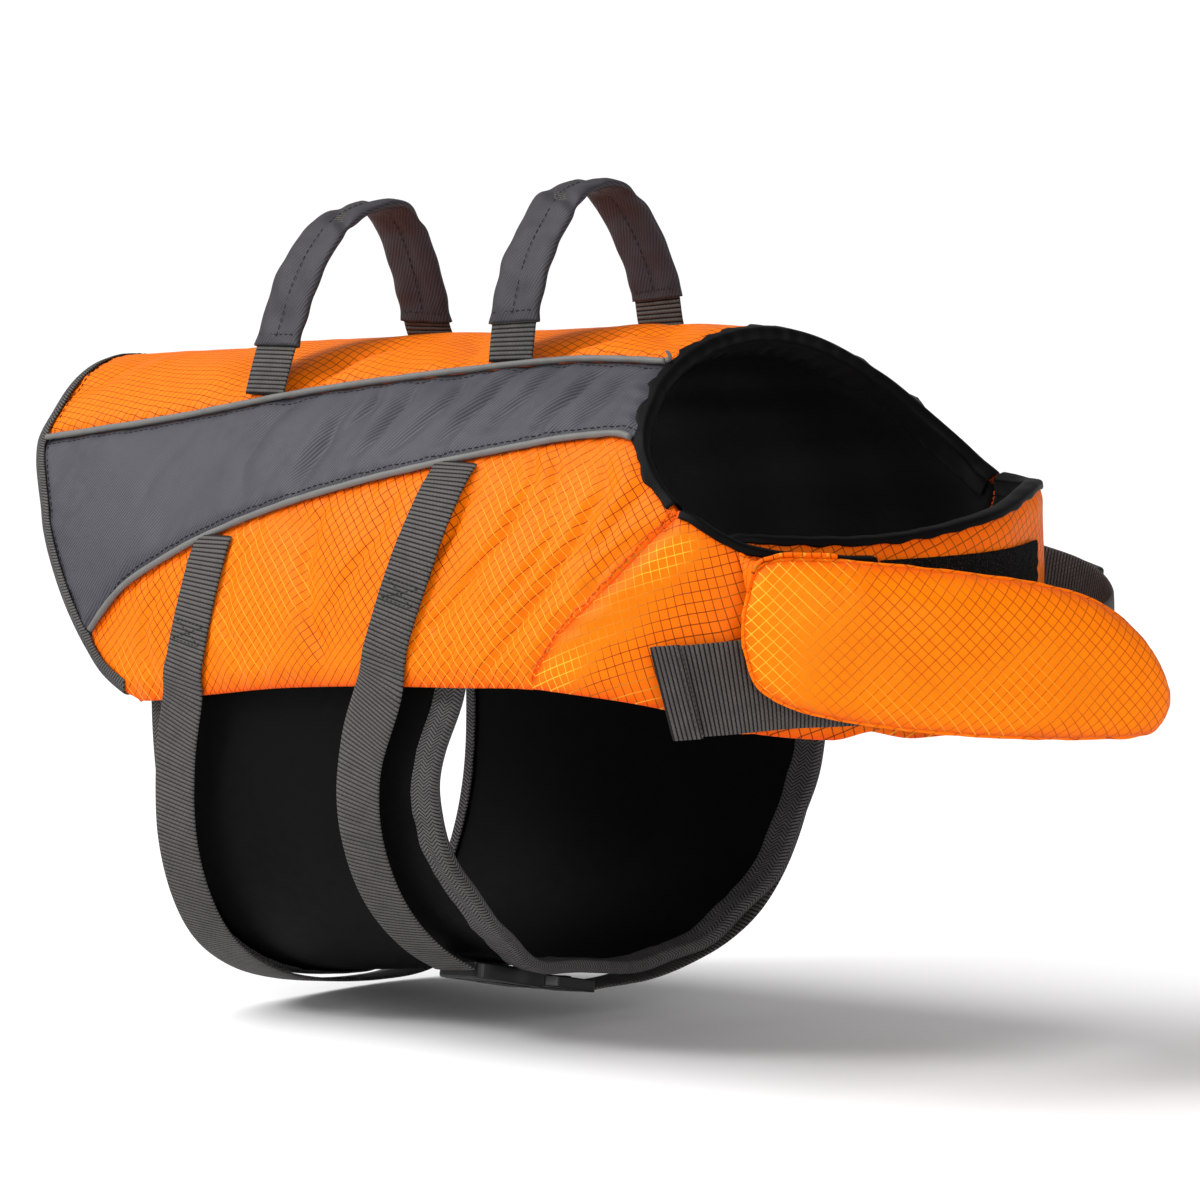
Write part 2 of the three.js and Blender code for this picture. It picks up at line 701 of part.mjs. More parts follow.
// A point on the belly panel's outer face. Turn runs from 0 on the right, where the panel
// hangs from the saddle, through 90 under the belly, to 180 on the left.
function bellyPoint(along, turn, lift = 0) {
  const half = read(BELLY_SECTIONS, "along", "half", along);
  const top = read(BELLY_SECTIONS, "along", "top", along);
  const bottom = read(BELLY_SECTIONS, "along", "bottom", along);
  const angle = THREE.MathUtils.degToRad(turn);
  const power = 2 / BELLY.squareness;
  const across = -Math.sign(Math.cos(angle)) * Math.abs(Math.cos(angle)) ** power;
  const down = Math.abs(Math.sin(angle)) ** power;
  const drop = BELLY.farDrop * across * Math.sin(angle);
  const point = new THREE.Vector3(along, half * across, top + (bottom - top) * down - drop);
  const out = new THREE.Vector3(0, across, -down * 0.9).normalize();
  return point.addScaledVector(out, lift);
}

// The strip above turn 0 or 180 that is sewn inside the saddle, flaring out to its lining.
function bellyRoot(along, side, share, lift) {
  const foot = bellyPoint(along, side === RIGHT ? 0 : 180, lift);
  const girth = 0.93;
  const head = at(along, girth, side, liningDepth(along, girth) + 2.9 - lift);
  return foot.lerp(head, share);
}

const bellyEnd = (column, round) => read(BELLY_ENDS, "turn", column, 180 * clamp01(round));

// A point of the belly by its place round it: under 0 and over 1 are the sewn strips.
function bellyAt(along, round, lift) {
  if (round < 0) return bellyRoot(along, RIGHT, -round * 8, lift);
  if (round > 1) return bellyRoot(along, LEFT, (round - 1) * 8, lift);
  return bellyPoint(along, 180 * round, lift);
}
const ROUND = [-0.125, -0.06, ...steps(21), 1.06, 1.125];

function bellyPanel() {
  const grid = (lift) =>
    ROUND.map((round) =>
      steps(6).map((u) => {
        const along = mix(bellyEnd("rear", round), bellyEnd("front", round), u);
        return bellyAt(along, round, lift);
      }),
    );
  return wall(grid(0), grid(-BELLY.thickness));
}

function bellyTape(atFront) {
  const thickness = 1;
  const rings = ROUND.map((round) => {
    const edge = bellyEnd(atFront ? "front" : "rear", round);
    const forward = atFront ? 1 : -1;
    const leg = edge - forward * BELLY.bindingWidth;
    const inner = -BELLY.thickness - EDGE_GAP;
    const point = (along, lift) => bellyAt(along, round, lift);
    const past = (lift, out) => point(edge, lift).add(new THREE.Vector3(forward * out, 0, 0));
    return [
      point(leg, EDGE_GAP),
      point(leg, EDGE_GAP + thickness),
      past(EDGE_GAP + thickness, EDGE_GAP + thickness),
      past(inner - thickness, EDGE_GAP + thickness),
      point(leg, inner - thickness),
      point(leg, inner),
      past(inner, EDGE_GAP),
      past(EDGE_GAP, EDGE_GAP),
    ];
  });
  const section = section2([[6, 1], [6, 2], [-1, 2], [-1, -2], [6, -2], [6, -1], [0, -1], [0, 1]]);
  return loft(rings, section);
}

// Handle: one length of webbing from seam to seam, in a sewn sleeve over its middle.
function handleStations(name) {
  const { along, lean, seat } = HANDLES[name];
  const { girth } = seamPoint(topSeam, (along + 200) / 388);
  const root = (side) => at(along, girth - 0.024, side, seat - WEBBING.thickness / 2 - GAP);
  const crown = Math.max(...ARCHES[name].map(({ height }) => height));
  const arch = ARCHES[name].map(
    ({ across, height }) =>
      new THREE.Vector3(along + lean * clamp01(height / crown) ** 2, across, height),
  );
  const curve = new THREE.CatmullRomCurve3([root(RIGHT), ...arch, root(LEFT)], false, "centripetal");
  const taper = (side) =>
    surface(along + 8, girth, side).sub(surface(along - 8, girth, side)).normalize();
  return stationsAlong(curve.getSpacedPoints(26), (i) => taper(RIGHT).lerp(taper(LEFT), i / 26));
}

const FORWARD = new THREE.Vector3(1, 0, 0);

function handleWebbing(name) {
  return band(handleStations(name), WEBBING.width, WEBBING.thickness);
}

// The sleeve is a flat tube round the webbing, open at both ends.
function handleSleeve(name) {
  const { sleeve } = HANDLES[name];
  const stations = handleStations(name).filter(({ centre }, i) =>
    i < 13 ? centre.z > sleeve.right : centre.z > sleeve.left,
  );
  const outerSection = roundSection(SLEEVE.width, SLEEVE.thickness, 2.2, 1);
  const bore = { width: WEBBING.width + 2 * GAP, thickness: WEBBING.thickness + 2 * GAP };
  const innerSection = roundSection(bore.width, bore.thickness, 0.5, 1);
  const ring = (station, section) =>
    section.map((p) =>
      station.centre.clone().addScaledVector(station.across, p.x).addScaledVector(station.face, p.y),
    );
  const count = outerSection.length;
  const points = stations.flatMap((s) => [...ring(s, outerSection), ...ring(s, innerSection)]);
  const faces = [];
  const quad = (a, b, c, d) => faces.push([a, b, c], [a, c, d]);
  const id = (i, layer, j) => (i * 2 + layer) * count + (j % count);
  const last = stations.length - 1;
  for (let j = 0; j < count; j += 1) {
    for (let i = 0; i < last; i += 1) {
      quad(id(i, 0, j), id(i, 0, j + 1), id(i + 1, 0, j + 1), id(i + 1, 0, j));
      quad(id(i, 1, j), id(i + 1, 1, j), id(i + 1, 1, j + 1), id(i, 1, j + 1));
    }
    quad(id(0, 0, j), id(0, 1, j), id(0, 1, j + 1), id(0, 0, j + 1));
    quad(id(last, 0, j), id(last, 0, j + 1), id(last, 1, j + 1), id(last, 1, j));
  }
  return indexed(points, faces);
}

// A belly strap's two long edges: down the flank from the low seam, free below the hem,
// then round the belly outside the panel.
const STRAP_LIFT = 0.7 + WEBBING.thickness / 2;
const HALF_WEB = WEBBING.width / 2;

function strapFlank(name, side) {
  const { seam, hem } = STRAP_TOPS[name];
  return steps(8).map((t) => {
    const middle = mix(seam, hem, t ** 1.6);
    return [-HALF_WEB, HALF_WEB].map((reach) => {
      const along = middle + reach;
      const girth = mix(lowSeam(lowShare(along)) + 0.013, 0.995, t);
      const depths = [-11, 0, 11].map((more) => skinDepth(along + more, girth));
      return at(along, girth, side, Math.min(...depths) - STRAP_LIFT);
    });
  });
}

function strapUnder(name, turn) {
  const value = (column) => read(STRAPS[name], "turn", column, turn);
  return [-HALF_WEB, HALF_WEB].map((reach) =>
    bellyPoint(value("along") + reach, turn, value("lift")),
  );
}

function strapHalf(name, side) {
  const [from, to] = BUCKLE_SPAN[name];
  const turns = side === RIGHT ? steps(8, 7, from) : steps(8, 173, to);
  const path = [...strapFlank(name, side), ...turns.map((turn) => strapUnder(name, turn))];
  const curves = [0, 1].map(
    (edge) => new THREE.CatmullRomCurve3(path.map((row) => row[edge]), false, "centripetal"),
  );
  const rows = steps(2 * (path.length - 1)).map((t) => curves.map((curve) => curve.getPoint(t)));
  const kept = rows.filter((_, i) => i % 2 === 0 || (i > 12 && i < 24));
  const layer = (out) =>
    kept.map((row, i) => {
      const [before, after] = [kept[Math.max(i - 1, 0)], kept[Math.min(i + 1, kept.length - 1)]];
      const run = after[0].clone().add(after[1]).sub(before[0]).sub(before[1]);
      const face = run.cross(row[1].clone().sub(row[0])).setLength(out);
      return row.map((point) => point.clone().add(face));
    });
  return wall(layer(WEBBING.thickness / 2), layer(-WEBBING.thickness / 2));
}

// A side-release buckle: socket body, and a plug with its two side arms and a web bar.
function plate(outline, holes, thickness) {
  const shape = new THREE.Shape(outline);
  for (const hole of holes) shape.holes.push(new THREE.Path(hole));
  const geometry = new THREE.ExtrudeGeometry(shape, { depth: thickness, bevelEnabled: false });
  geometry.translate(0, 0, -thickness / 2);
  geometry.deleteAttribute("uv");
  return geometry;
}

// Outline of a plate whose long sides bow in; x runs along the buckle.
function socketOutline({ length, width }) {
  const body = length * 0.58;
  const half = width / 2;
  return section2([
    [0, -half * 0.84],
    [body * 0.16, -half],
    [body * 0.5, -half],
    [body * 0.72, -half * 0.86],
    [body, -half * 0.9],
    [body, half * 0.9],
    [body * 0.72, half * 0.86],
    [body * 0.5, half],
    [body * 0.16, half],
    [0, half * 0.84],
  ]);
}

const rectangle = (x0, x1, half) => section2([[x0, -half], [x0, half], [x1, half], [x1, -half]]);

function buckleHalves(sizes, place) {
  const { length, width, thickness, slot } = sizes;
  const body = length * 0.58;
  const bar = length * 0.09;
  const socket = plate(socketOutline(sizes), [rectangle(bar, bar * 2, slot / 2)], thickness);
  const start = body + 0.4;
  const half = width / 2;
  const plugOutline = section2([
    [start, -half * 0.62],
    [start + bar, -half * 0.95],
    [length, -half * 0.9],
    [length, half * 0.9],
    [start + bar, half * 0.95],
    [start, half * 0.62],
  ]);
  const slots = [
    rectangle(length - bar * 2.1, length - bar, slot / 2),
    rectangle(length - bar * 3.5, length - bar * 2.9, slot * 0.44),
  ];
  const plug = plate(plugOutline, slots, thickness * 0.72);
  return [socket, plug].map((geometry) => geometry.applyMatrix4(place));
}

// A frame whose X runs from one point to another, with Y as near as can be to the width.
function frameBetween(from, to, across) {
  const x = to.clone().sub(from).normalize();
  const y = across.clone().addScaledVector(x, -across.dot(x)).normalize();
  const z = new THREE.Vector3().crossVectors(x, y);
  return new THREE.Matrix4().makeBasis(x, y, z).setPosition(from);
}

function bellyBuckle(name) {
  const [start, end] = BUCKLE_SPAN[name].map((turn) => strapUnder(name, turn));
  const [from, to] = [start, end].map(([rear, front]) => rear.clone().lerp(front, 0.5));
  const across = start[1].clone().sub(start[0]).add(end[1]).sub(end[0]);
  const ease = BUCKLE_EASE[name];
  const length = from.distanceTo(to) - 2 * ease;
  const inset = to.clone().sub(from).setLength(ease);
  return buckleHalves({ ...BUCKLE, length }, frameBetween(from.add(inset), to, across));
}

// Chest strap round the outside of the wings, from its free end by the float to where it is
// sewn on the left. Turn is measured round the chest; off is the distance from the wing.
const CHEST_STRAP = [
  { turn: 28, off: 6, height: -120 },
  { turn: 40, off: 5, height: -119 },
  { turn: 52, off: 4.4, height: -118 },
  { turn: 64, off: 4.4, height: -118 },
  { turn: 78, off: 5, height: -118 },
  { turn: 90, off: 8, height: -118.5 },
  { turn: 104, off: 17, height: -119 },
  { turn: 118, off: 25, height: -118 },
  { turn: 130, off: 30, height: -114.5 },
  { turn: 140, off: 28, height: -109.5 },
  { turn: 150, off: 21, height: -103 },
  { turn: 160, off: 12, height: -98.5 },
  { turn: 171, off: 5, height: -95 },
  { turn: 180, off: 1.4, height: -93 },
];
const CHEST_STRAP_END = { along: 176, height: -92 };

function chestCurve() {
  const points = CHEST_STRAP.map(({ turn, off, height }) => {
    const angle = THREE.MathUtils.degToRad(turn);
    const x = NOSE.start + (NOSE.reach + off) * Math.sin(angle);
    return new THREE.Vector3(x, -(139.5 + off) * Math.cos(angle), height);
  });
  points.push(new THREE.Vector3(CHEST_STRAP_END.along, 139.6, CHEST_STRAP_END.height));
  return new THREE.CatmullRomCurve3(points, false, "centripetal");
}

const UP = new THREE.Vector3(0, 0, 1);

function chestStrap() {
  const centres = chestCurve().getSpacedPoints(36);
  return band(stationsAlong(centres, () => UP), CHEST_WEBBING.width, CHEST_WEBBING.thickness);
}

// The strap's free end is folded back on itself once and sewn down.
function chestStrapHem() {
  const curve = chestCurve();
  const lift = CHEST_WEBBING.thickness + GAP;
  const centres = steps(2, 0.001, 0.027).map((t) => {
    const run = curve.getTangentAt(t);
    const out = new THREE.Vector3().crossVectors(run, UP).normalize();
    return curve.getPointAt(t).addScaledVector(out, lift);
  });
  return band(stationsAlong(centres, () => UP), CHEST_WEBBING.width + 1.5, CHEST_WEBBING.thickness);
}

function chestBuckle() {
  const curve = chestCurve();
  const lift = CHEST_WEBBING.thickness / 2 + CHEST_BUCKLE.thickness / 2 + GAP;
  const middle = 0.871;
  const run = curve.getTangentAt(middle);
  const out = new THREE.Vector3().crossVectors(run, UP).normalize();
  const centre = curve.getPointAt(middle).addScaledVector(out, lift).setZ(-105);
  const start = centre.clone().addScaledVector(run, -CHEST_BUCKLE.length / 2);
  const end = centre.clone().addScaledVector(run, CHEST_BUCKLE.length / 2);
  return buckleHalves(CHEST_BUCKLE, frameBetween(end, start, UP));
}

// Chin float: a padded board with rounded ends, gently bent round a standing axis.
const FLOAT = {
  length: 194,
  thickness: 22,
  edge: 3,
  start: { x: 274, y: -112 },
  turn: [46, 76],
};
// Upper and lower edge of the float by its length.
const FLOAT_OUTLINE = [
  { share: 0, upper: -91, lower: -100 },
  { share: 0.02, upper: -78, lower: -113 },
  { share: 0.06, upper: -69, lower: -122 },
  { share: 0.14, upper: -65.5, lower: -129 },
  { share: 0.3, upper: -68, lower: -135.5 },
  { share: 0.5, upper: -73, lower: -140.5 },
  { share: 0.7, upper: -80, lower: -143.5 },
  { share: 0.82, upper: -88, lower: -144.5 },
  { share: 0.92, upper: -102, lower: -144.5 },
  { share: 0.98, upper: -117, lower: -140.5 },
  { share: 1, upper: -126, lower: -133 },
];

// A point on the float's middle sheet and its outward direction, by its length share.
function floatAxis(share) {
  const count = 24;
  const point = new THREE.Vector3(FLOAT.start.x, FLOAT.start.y, 0);
  const heading = (t) => THREE.MathUtils.degToRad(mix(FLOAT.turn[0], FLOAT.turn[1], t));
  for (let i = 0; i < count; i += 1) {
    const angle = heading((share * (i + 0.5)) / count);
    const stride = (FLOAT.length * share) / count;
    point.add(new THREE.Vector3(Math.cos(angle), Math.sin(angle), 0).multiplyScalar(stride));
  }
  const end = heading(share);
  return { point, out: new THREE.Vector3(Math.sin(end), -Math.cos(end), 0) };
}

function chinFloat() {
  const lines = [0, 0.02, 0.06, ...steps(10, 0.13, 0.87), 0.93, 0.975, 1];
  const columns = [0, 0.1, 0.26, 0.5, 0.74, 0.9, 1];
  const grid = (face) =>
    lines.map((u) => {
      const { point, out } = floatAxis(u);
      const upper = read(FLOAT_OUTLINE, "share", "upper", u);
      const lower = read(FLOAT_OUTLINE, "share", "lower", u);
      return columns.map((v) => {
        const fromEnd = Math.min(0.6 * u, 1 - u) * FLOAT.length;
        const fromSide = Math.min(v, 1 - v) * (upper - lower);
        const round = (away) => Math.sqrt(1 - (1 - clamp01(away / 24)) ** 2);
        const swell = round(fromEnd) * round(fromSide);
        const thick = FLOAT.edge / 2 + ((FLOAT.thickness - FLOAT.edge) / 2) * swell;
        const place = point.clone().setZ(mix(upper, lower, v));
        return place.addScaledVector(out, face * thick);
      });
    });
  return wall(grid(1), grid(-1));
}

// The cloth by which the float hangs: from the right wing's upper edge to the float's.
function floatHinge() {
  const thickness = 1.6;
  const grid = (extra) =>
    steps(8).map((u) => {
      const along = mix(238, 252, u);
      const root = at(along, wingTop(RIGHT, along) + 9 / GIRTH_MM, RIGHT, 0.6 - GAP);
      const share = mix(0.05, 0.2, u);
      const { point, out } = floatAxis(share);
      const upper = read(FLOAT_OUTLINE, "share", "upper", share);
      const head = point.clone().setZ(upper + 1.9).addScaledVector(out, 0.5);
      return steps(3).map((v) => {
        const sag = 2 * Math.sin(Math.PI * v) * u;
        return root.clone().lerp(head, v).add(new THREE.Vector3(0, 0, extra - sag));
      });
    });
  return wall(grid(thickness), grid(0));
}

// Hook-and-loop patch on the left wing, where the float presses on it.
function hookPatch() {
  const lines = steps(10, 250, 296);
  const grid = (layer) =>
    lines.map((along) =>
      steps(2, 0.705, 0.85).map((girth) => {
        const { skin } = wingDepths(along, girth, LEFT, wingTop(LEFT, along));
        return at(along, girth, LEFT, skin - GAP - 0.25 - layer * 1.4);
      }),
    );
  return wall(grid(1), grid(0));
}

add("back_panel", backPanel(), ORANGE);
for (const [side, hand] of [[RIGHT, "right"], [LEFT, "left"]]) {
  add(`side_band_${hand}`, bandPanel(side), BAND_GREY);
  add(`side_panel_${hand}`, sidePanel(side), ORANGE);
  add(`piping_top_${hand}`, piping(topSeam, side, 0.983), PIPING_GREY);
  add(`piping_low_${hand}`, piping(lowSeam, side, 0.968), PIPING_GREY);
  add(`chest_wing_${hand}`, wingPanel(side), ORANGE);
  add(`wing_lining_${hand}`, wingLining(side), BLACK_CLOTH);
  add(`wing_facing_${hand}`, wingFacing(side, side === LEFT ? 18 : 8), BLACK_CLOTH);
}
add("saddle_lining", saddleLining(), BLACK_CLOTH);
add("tail_tape", tailTape(), WEB_GREY);
add("neck_facing", neckFacing(), BLACK_CLOTH);
add("belly_panel", bellyPanel(), BLACK_CLOTH);
add("belly_tape_front", bellyTape(true), WEB_GREY);
add("belly_tape_rear", bellyTape(false), WEB_GREY);
for (const name of Object.keys(HANDLES)) {
  add(`handle_webbing_${name}`, handleWebbing(name), WEB_GREY);
  add(`handle_sleeve_${name}`, handleSleeve(name), BAND_GREY);
}
for (const name of Object.keys(STRAPS)) {
  add(`belly_strap_${name}_right`, strapHalf(name, RIGHT), WEB_GREY);
  add(`belly_strap_${name}_left`, strapHalf(name, LEFT), WEB_GREY);
  const [socket, plug] = bellyBuckle(name);
  add(`buckle_socket_${name}`, socket, BLACK_PLASTIC);
  add(`buckle_plug_${name}`, plug, BLACK_PLASTIC);
}
add("chest_strap", chestStrap(), WEB_GREY);
add("chest_strap_hem", chestStrapHem(), WEB_GREY);
const [chestSocket, chestPlug] = chestBuckle();
add("chest_buckle_socket", chestSocket, BLACK_PLASTIC);
add("chest_buckle_plug", chestPlug, BLACK_PLASTIC);
add("chin_float", chinFloat(), ORANGE);
add("float_hinge", floatHinge(), ORANGE);
add("hook_patch", hookPatch(), BLACK_CLOTH);

export default jacket;
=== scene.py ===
"""A dog life jacket, filled out as if it were worn, dressed for a studio picture.

Lengths are worked out in millimetres and put into the meshes in metres. X runs forward to
the neck, Y to the dog's left and Z up. The saddle is one surface with two measures: "along"
runs from the tail to the neck in millimetres, and past the start of the nose one unit is one
degree round the chest; "girth" runs from 0 at the ridge of the back to 1 at the hem.
"""

import logging
import math
from dataclasses import dataclass, field
from enum import Enum
from typing import Callable, Sequence

import bmesh
import bpy
import numpy as np
from mathutils import Matrix, Vector


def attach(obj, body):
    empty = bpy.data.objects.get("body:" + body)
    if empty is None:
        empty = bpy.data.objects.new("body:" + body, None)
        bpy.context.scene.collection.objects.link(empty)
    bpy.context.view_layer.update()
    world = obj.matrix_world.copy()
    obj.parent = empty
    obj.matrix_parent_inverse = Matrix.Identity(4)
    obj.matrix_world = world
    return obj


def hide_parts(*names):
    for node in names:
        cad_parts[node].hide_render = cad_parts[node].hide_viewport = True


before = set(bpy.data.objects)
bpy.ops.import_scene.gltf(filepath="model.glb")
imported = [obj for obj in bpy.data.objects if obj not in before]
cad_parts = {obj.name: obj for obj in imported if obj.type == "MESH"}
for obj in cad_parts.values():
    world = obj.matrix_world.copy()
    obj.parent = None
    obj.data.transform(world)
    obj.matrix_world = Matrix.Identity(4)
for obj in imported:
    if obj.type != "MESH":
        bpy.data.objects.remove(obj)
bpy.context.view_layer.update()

LOG = logging.getLogger("jacket")
MM = 0.001
CLOTH_UNIT = 100.0  # millimetres of cloth in one unit of the cloth map
GAP = 0.35
RIGHT, LEFT = -1.0, 1.0
Array = np.ndarray
Value = np.ndarray | float
Colour = tuple[float, float, float, float]
Socket, Tree = bpy.types.NodeSocket, bpy.types.NodeTree
Material, Piece = bpy.types.Material, bpy.types.Object


# Small sums


def ease(t: Value) -> Array:
    """A smooth step: t squared times three minus two t, held between 0 and 1."""
    t = np.clip(t, 0, 1)
    return t * t * (3 - 2 * t)


def mix(a: Value, b: Value, t: Value) -> Array:
    """The value a share t of the way from a to b."""
    return a + (b - a) * t


def unit(v: Array) -> Array:
    """Vectors of length one along the last axis."""
    return v / np.maximum(np.linalg.norm(v, axis=-1, keepdims=True), 1e-9)


def ripple(run: Array, pitch: float, seed: int) -> Array:
    """An uneven wave along a run, from about -1 to 1.

    Five sines of pitches near the given one are added, each with a phase of its own.

    Args:
        run: Distance along the wave, in millimetres.
        pitch: Usual distance from crest to crest.
        seed: Picks the pitches and phases.

    Returns:
        The wave's height at each distance.
    """
    rng = np.random.default_rng(seed)
    total = np.zeros(np.shape(run))
    for weight in (1.0, 0.8, 0.6, 0.5, 0.4):
        length = pitch * rng.uniform(0.65, 1.6)
        total = total + weight * np.sin(2 * np.pi * run / length + rng.uniform(0, 6.28))
    return total / 2.2


def rumple(a: Array, b: Array, pitch: float, seed: int) -> Array:
    """Uneven hills over a plane, from about -1 to 1: seven plane waves in seeded directions."""
    rng = np.random.default_rng(seed)
    total = np.zeros(np.shape(a))
    for _ in range(7):
        turn, length = rng.uniform(0, np.pi), pitch * rng.uniform(0.7, 1.7)
        run = a * np.cos(turn) + b * np.sin(turn)
        total = total + np.sin(2 * np.pi * run / length + rng.uniform(0, 6.28))
    return total / 3


@dataclass(frozen=True)
class Table:
    """A short table with named columns, read smoothly by its first column."""

    names: tuple[str, ...]
    rows: tuple[tuple[float, ...], ...]

    def read(self, name: str, at: Value) -> Array:
        """A column's value on a smooth cubic through its rows, held at both ends.

        Args:
            name: The column.
            at: Values of the first column.

        Returns:
            The column's value at each of them.
        """
        data = np.array(self.rows, float)
        keys, values = data[:, 0], data[:, self.names.index(name)]
        at = np.asarray(at, float)
        i = np.searchsorted(keys[1:-1], at, side="left")
        slope = np.diff(values) / np.diff(keys)
        tangent = np.concatenate([slope[:1], (slope[:-1] + slope[1:]) / 2, slope[-1:]])
        span = (keys[1:] - keys[:-1])[i]
        t = np.clip((at - keys[i]) / span, 0, 1)
        rise = t * t * (3 - 2 * t)
        bend = tangent[i] * (t - 2 * t**2 + t**3) + tangent[i + 1] * (t**3 - t**2)
        return values[i] * (1 - rise) + values[i + 1] * rise + bend * span


def spline(knots: Sequence[Sequence[float]] | Array, count: int) -> Array:
    """Evenly spaced points on a centripetal curve through the given ones.

    Each stretch is a cubic whose end slopes come from its neighbours, weighted by the
    square root of the distances between the points.

    Args:
        knots: Points that the curve passes.
        count: Points wanted.

    Returns:
        The points, in an array of count rows.
    """
    p = np.asarray(knots, float)
    p = np.vstack([2 * p[0] - p[1], p, 2 * p[-1] - p[-2]])
    gap = np.sqrt(np.maximum(np.linalg.norm(np.diff(p, axis=0), axis=1), 1e-6))[:, None]
    before, here, after = gap[:-2], gap[1:-1], gap[2:]
    a, b, c, d = p[:-3], p[1:-2], p[2:-1], p[3:]
    into = ((b - a) / before - (c - a) / (before + here) + (c - b) / here) * here
    out = ((c - b) / here - (d - b) / (here + after) + (d - c) / after) * here
    t = np.linspace(0, 1, 25)[:-1][None, :, None]
    b, c, into, out = (v[:, None] for v in (b, c, into, out))
    rise = t * t * (3 - 2 * t)
    line = b * (1 - rise) + c * rise + into * (t - 2 * t**2 + t**3) + out * (t**3 - t**2)
    return evenly(np.vstack([line.reshape(-1, 3), p[-2]]), count)


def travel(line: Array) -> Array:
    """Distance run along a line of points, from its first."""
    return np.concatenate([[0], np.cumsum(np.linalg.norm(np.diff(line, axis=0), axis=1))])


def read_along(values: Array, run: Array, at: Array) -> Array:
    """Rows of values, known at distances along a line, read at other distances."""
    return np.stack([np.interp(at, run, column) for column in values.T], -1)


def evenly(line: Array, count: int) -> Array:
    """The same line with a number of evenly spaced points."""
    run = travel(line)
    return read_along(line, run, np.linspace(0, run[-1], count))


def frames(line: Array, wanted: Array) -> tuple[Array, Array]:
    """Directions across a path and square to it.

    Args:
        line: Points of the path.
        wanted: The direction, or one for each point, that the width should follow.

    Returns:
        The width's direction, made square to the run, and the face's direction.
    """
    run = unit(np.gradient(line, axis=0))
    wanted = np.broadcast_to(wanted, line.shape)
    across = unit(wanted - (wanted * run).sum(-1, keepdims=True) * run)
    return across, np.cross(run, across)


# Closed bodies


@dataclass
class Body:
    """Points, faces and their place on the cloth, gathered before they become a mesh."""

    points: Array
    faces: list[Array]
    cloth: list[Array]
    marks: dict[str, Array] = field(default_factory=dict)

    @staticmethod
    def joined(bodies: Sequence["Body"]) -> "Body":
        """One body of several that don't share points."""
        starts = np.cumsum([0] + [len(b.points) for b in bodies])
        names = sorted({name for b in bodies for name in b.marks})
        return Body(
            np.concatenate([b.points for b in bodies]),
            [f + s for b, s in zip(bodies, starts) for f in b.faces],
            [c for b in bodies for c in b.cloth],
            {
                name: np.concatenate([b.marks.get(name, np.zeros(len(b.points))) for b in bodies])
                for name in names
            },
        )

    def volume(self) -> float:
        """Signed volume: positive where the faces point outwards."""
        total = 0.0
        for faces in self.faces:
            corner = self.points[faces]
            for k in range(1, faces.shape[1] - 1):
                cross = np.cross(corner[:, k], corner[:, k + 1])
                total += float((corner[:, 0] * cross).sum()) / 6
        return total


def spread_out(grid: Array) -> Array:
    """Cloth coordinates of a grid: lengths along its middle column and its middle row."""
    down = travel(grid[:, grid.shape[1] // 2])
    over = travel(grid[grid.shape[0] // 2])
    return np.stack(np.meshgrid(down, over - over[-1] / 2, indexing="ij"), -1)


def closed_wall(
    outer: Array, inner: Array, cloth: Array | None = None, marks: dict[str, Array] | None = None,
    bulge: float = 0.5, rounds: int = 2
) -> Body:
    """A closed wall between two grids of points, with a rounded rim.

    The rim's rings lie on half an ellipse from the outer edge to the inner one, which
    stands out from the edge by the bulge.

    Args:
        outer: Grid of points of the outer face.
        inner: Grid of the inner face.
        cloth: Cloth coordinates of the grid in millimetres, or None to measure them.
        marks: Named values over the grid.
        bulge: How far the rim stands out.
        rounds: Rings between the two edges.

    Returns:
        The closed body.
    """
    rows, columns = outer.shape[:2]
    index = np.arange(rows * columns).reshape(rows, columns)
    quads = np.stack([index[:-1, :-1], index[1:, :-1], index[1:, 1:], index[:-1, 1:]], -1)
    quads = quads.reshape(-1, 4)
    rim = np.concatenate([index[0], index[1:, -1], index[-1, -2::-1], index[-2:0:-1, 0]])
    middle = (outer + inner) / 2
    step = np.zeros_like(middle)
    step[0] += unit(middle[0] - middle[1])
    step[-1] += unit(middle[-1] - middle[-2])
    step[:, 0] += unit(middle[:, 0] - middle[:, 1])
    step[:, -1] += unit(middle[:, -1] - middle[:, -2])
    away = unit(step.reshape(-1, 3)[rim])
    top, low = outer.reshape(-1, 3)[rim], inner.reshape(-1, 3)[rim]
    turn = np.pi * np.arange(1, rounds + 1)[:, None, None] / (rounds + 1)
    rings = (top + low) / 2 + (top - low) / 2 * np.cos(turn) + away * bulge * np.sin(turn)
    count, around = rows * columns, len(rim)
    last = count + rounds * around
    loops = [rim, *(count + k * around + np.arange(around) for k in range(rounds)), last + rim]
    flat = (spread_out(middle) if cloth is None else cloth).reshape(-1, 2)
    faces, coords = [quads, quads[:, ::-1] + last], [flat[quads], flat[quads[:, ::-1]]]
    edge, next_edge = flat[rim], flat[np.roll(rim, -1)]
    for a, b in zip(loops, loops[1:]):
        faces.append(np.stack([a, np.roll(a, -1), np.roll(b, -1), b], -1))
        coords.append(np.stack([edge, next_edge, next_edge, edge], 1))
    points = np.concatenate([outer.reshape(-1, 3), rings.reshape(-1, 3), inner.reshape(-1, 3)])
    spread = {
        name: np.concatenate([v.ravel(), np.tile(v.ravel()[rim], rounds), v.ravel()]) for name,
        v in (marks or {}).items()
    }
    return Body(points, faces, coords, spread)


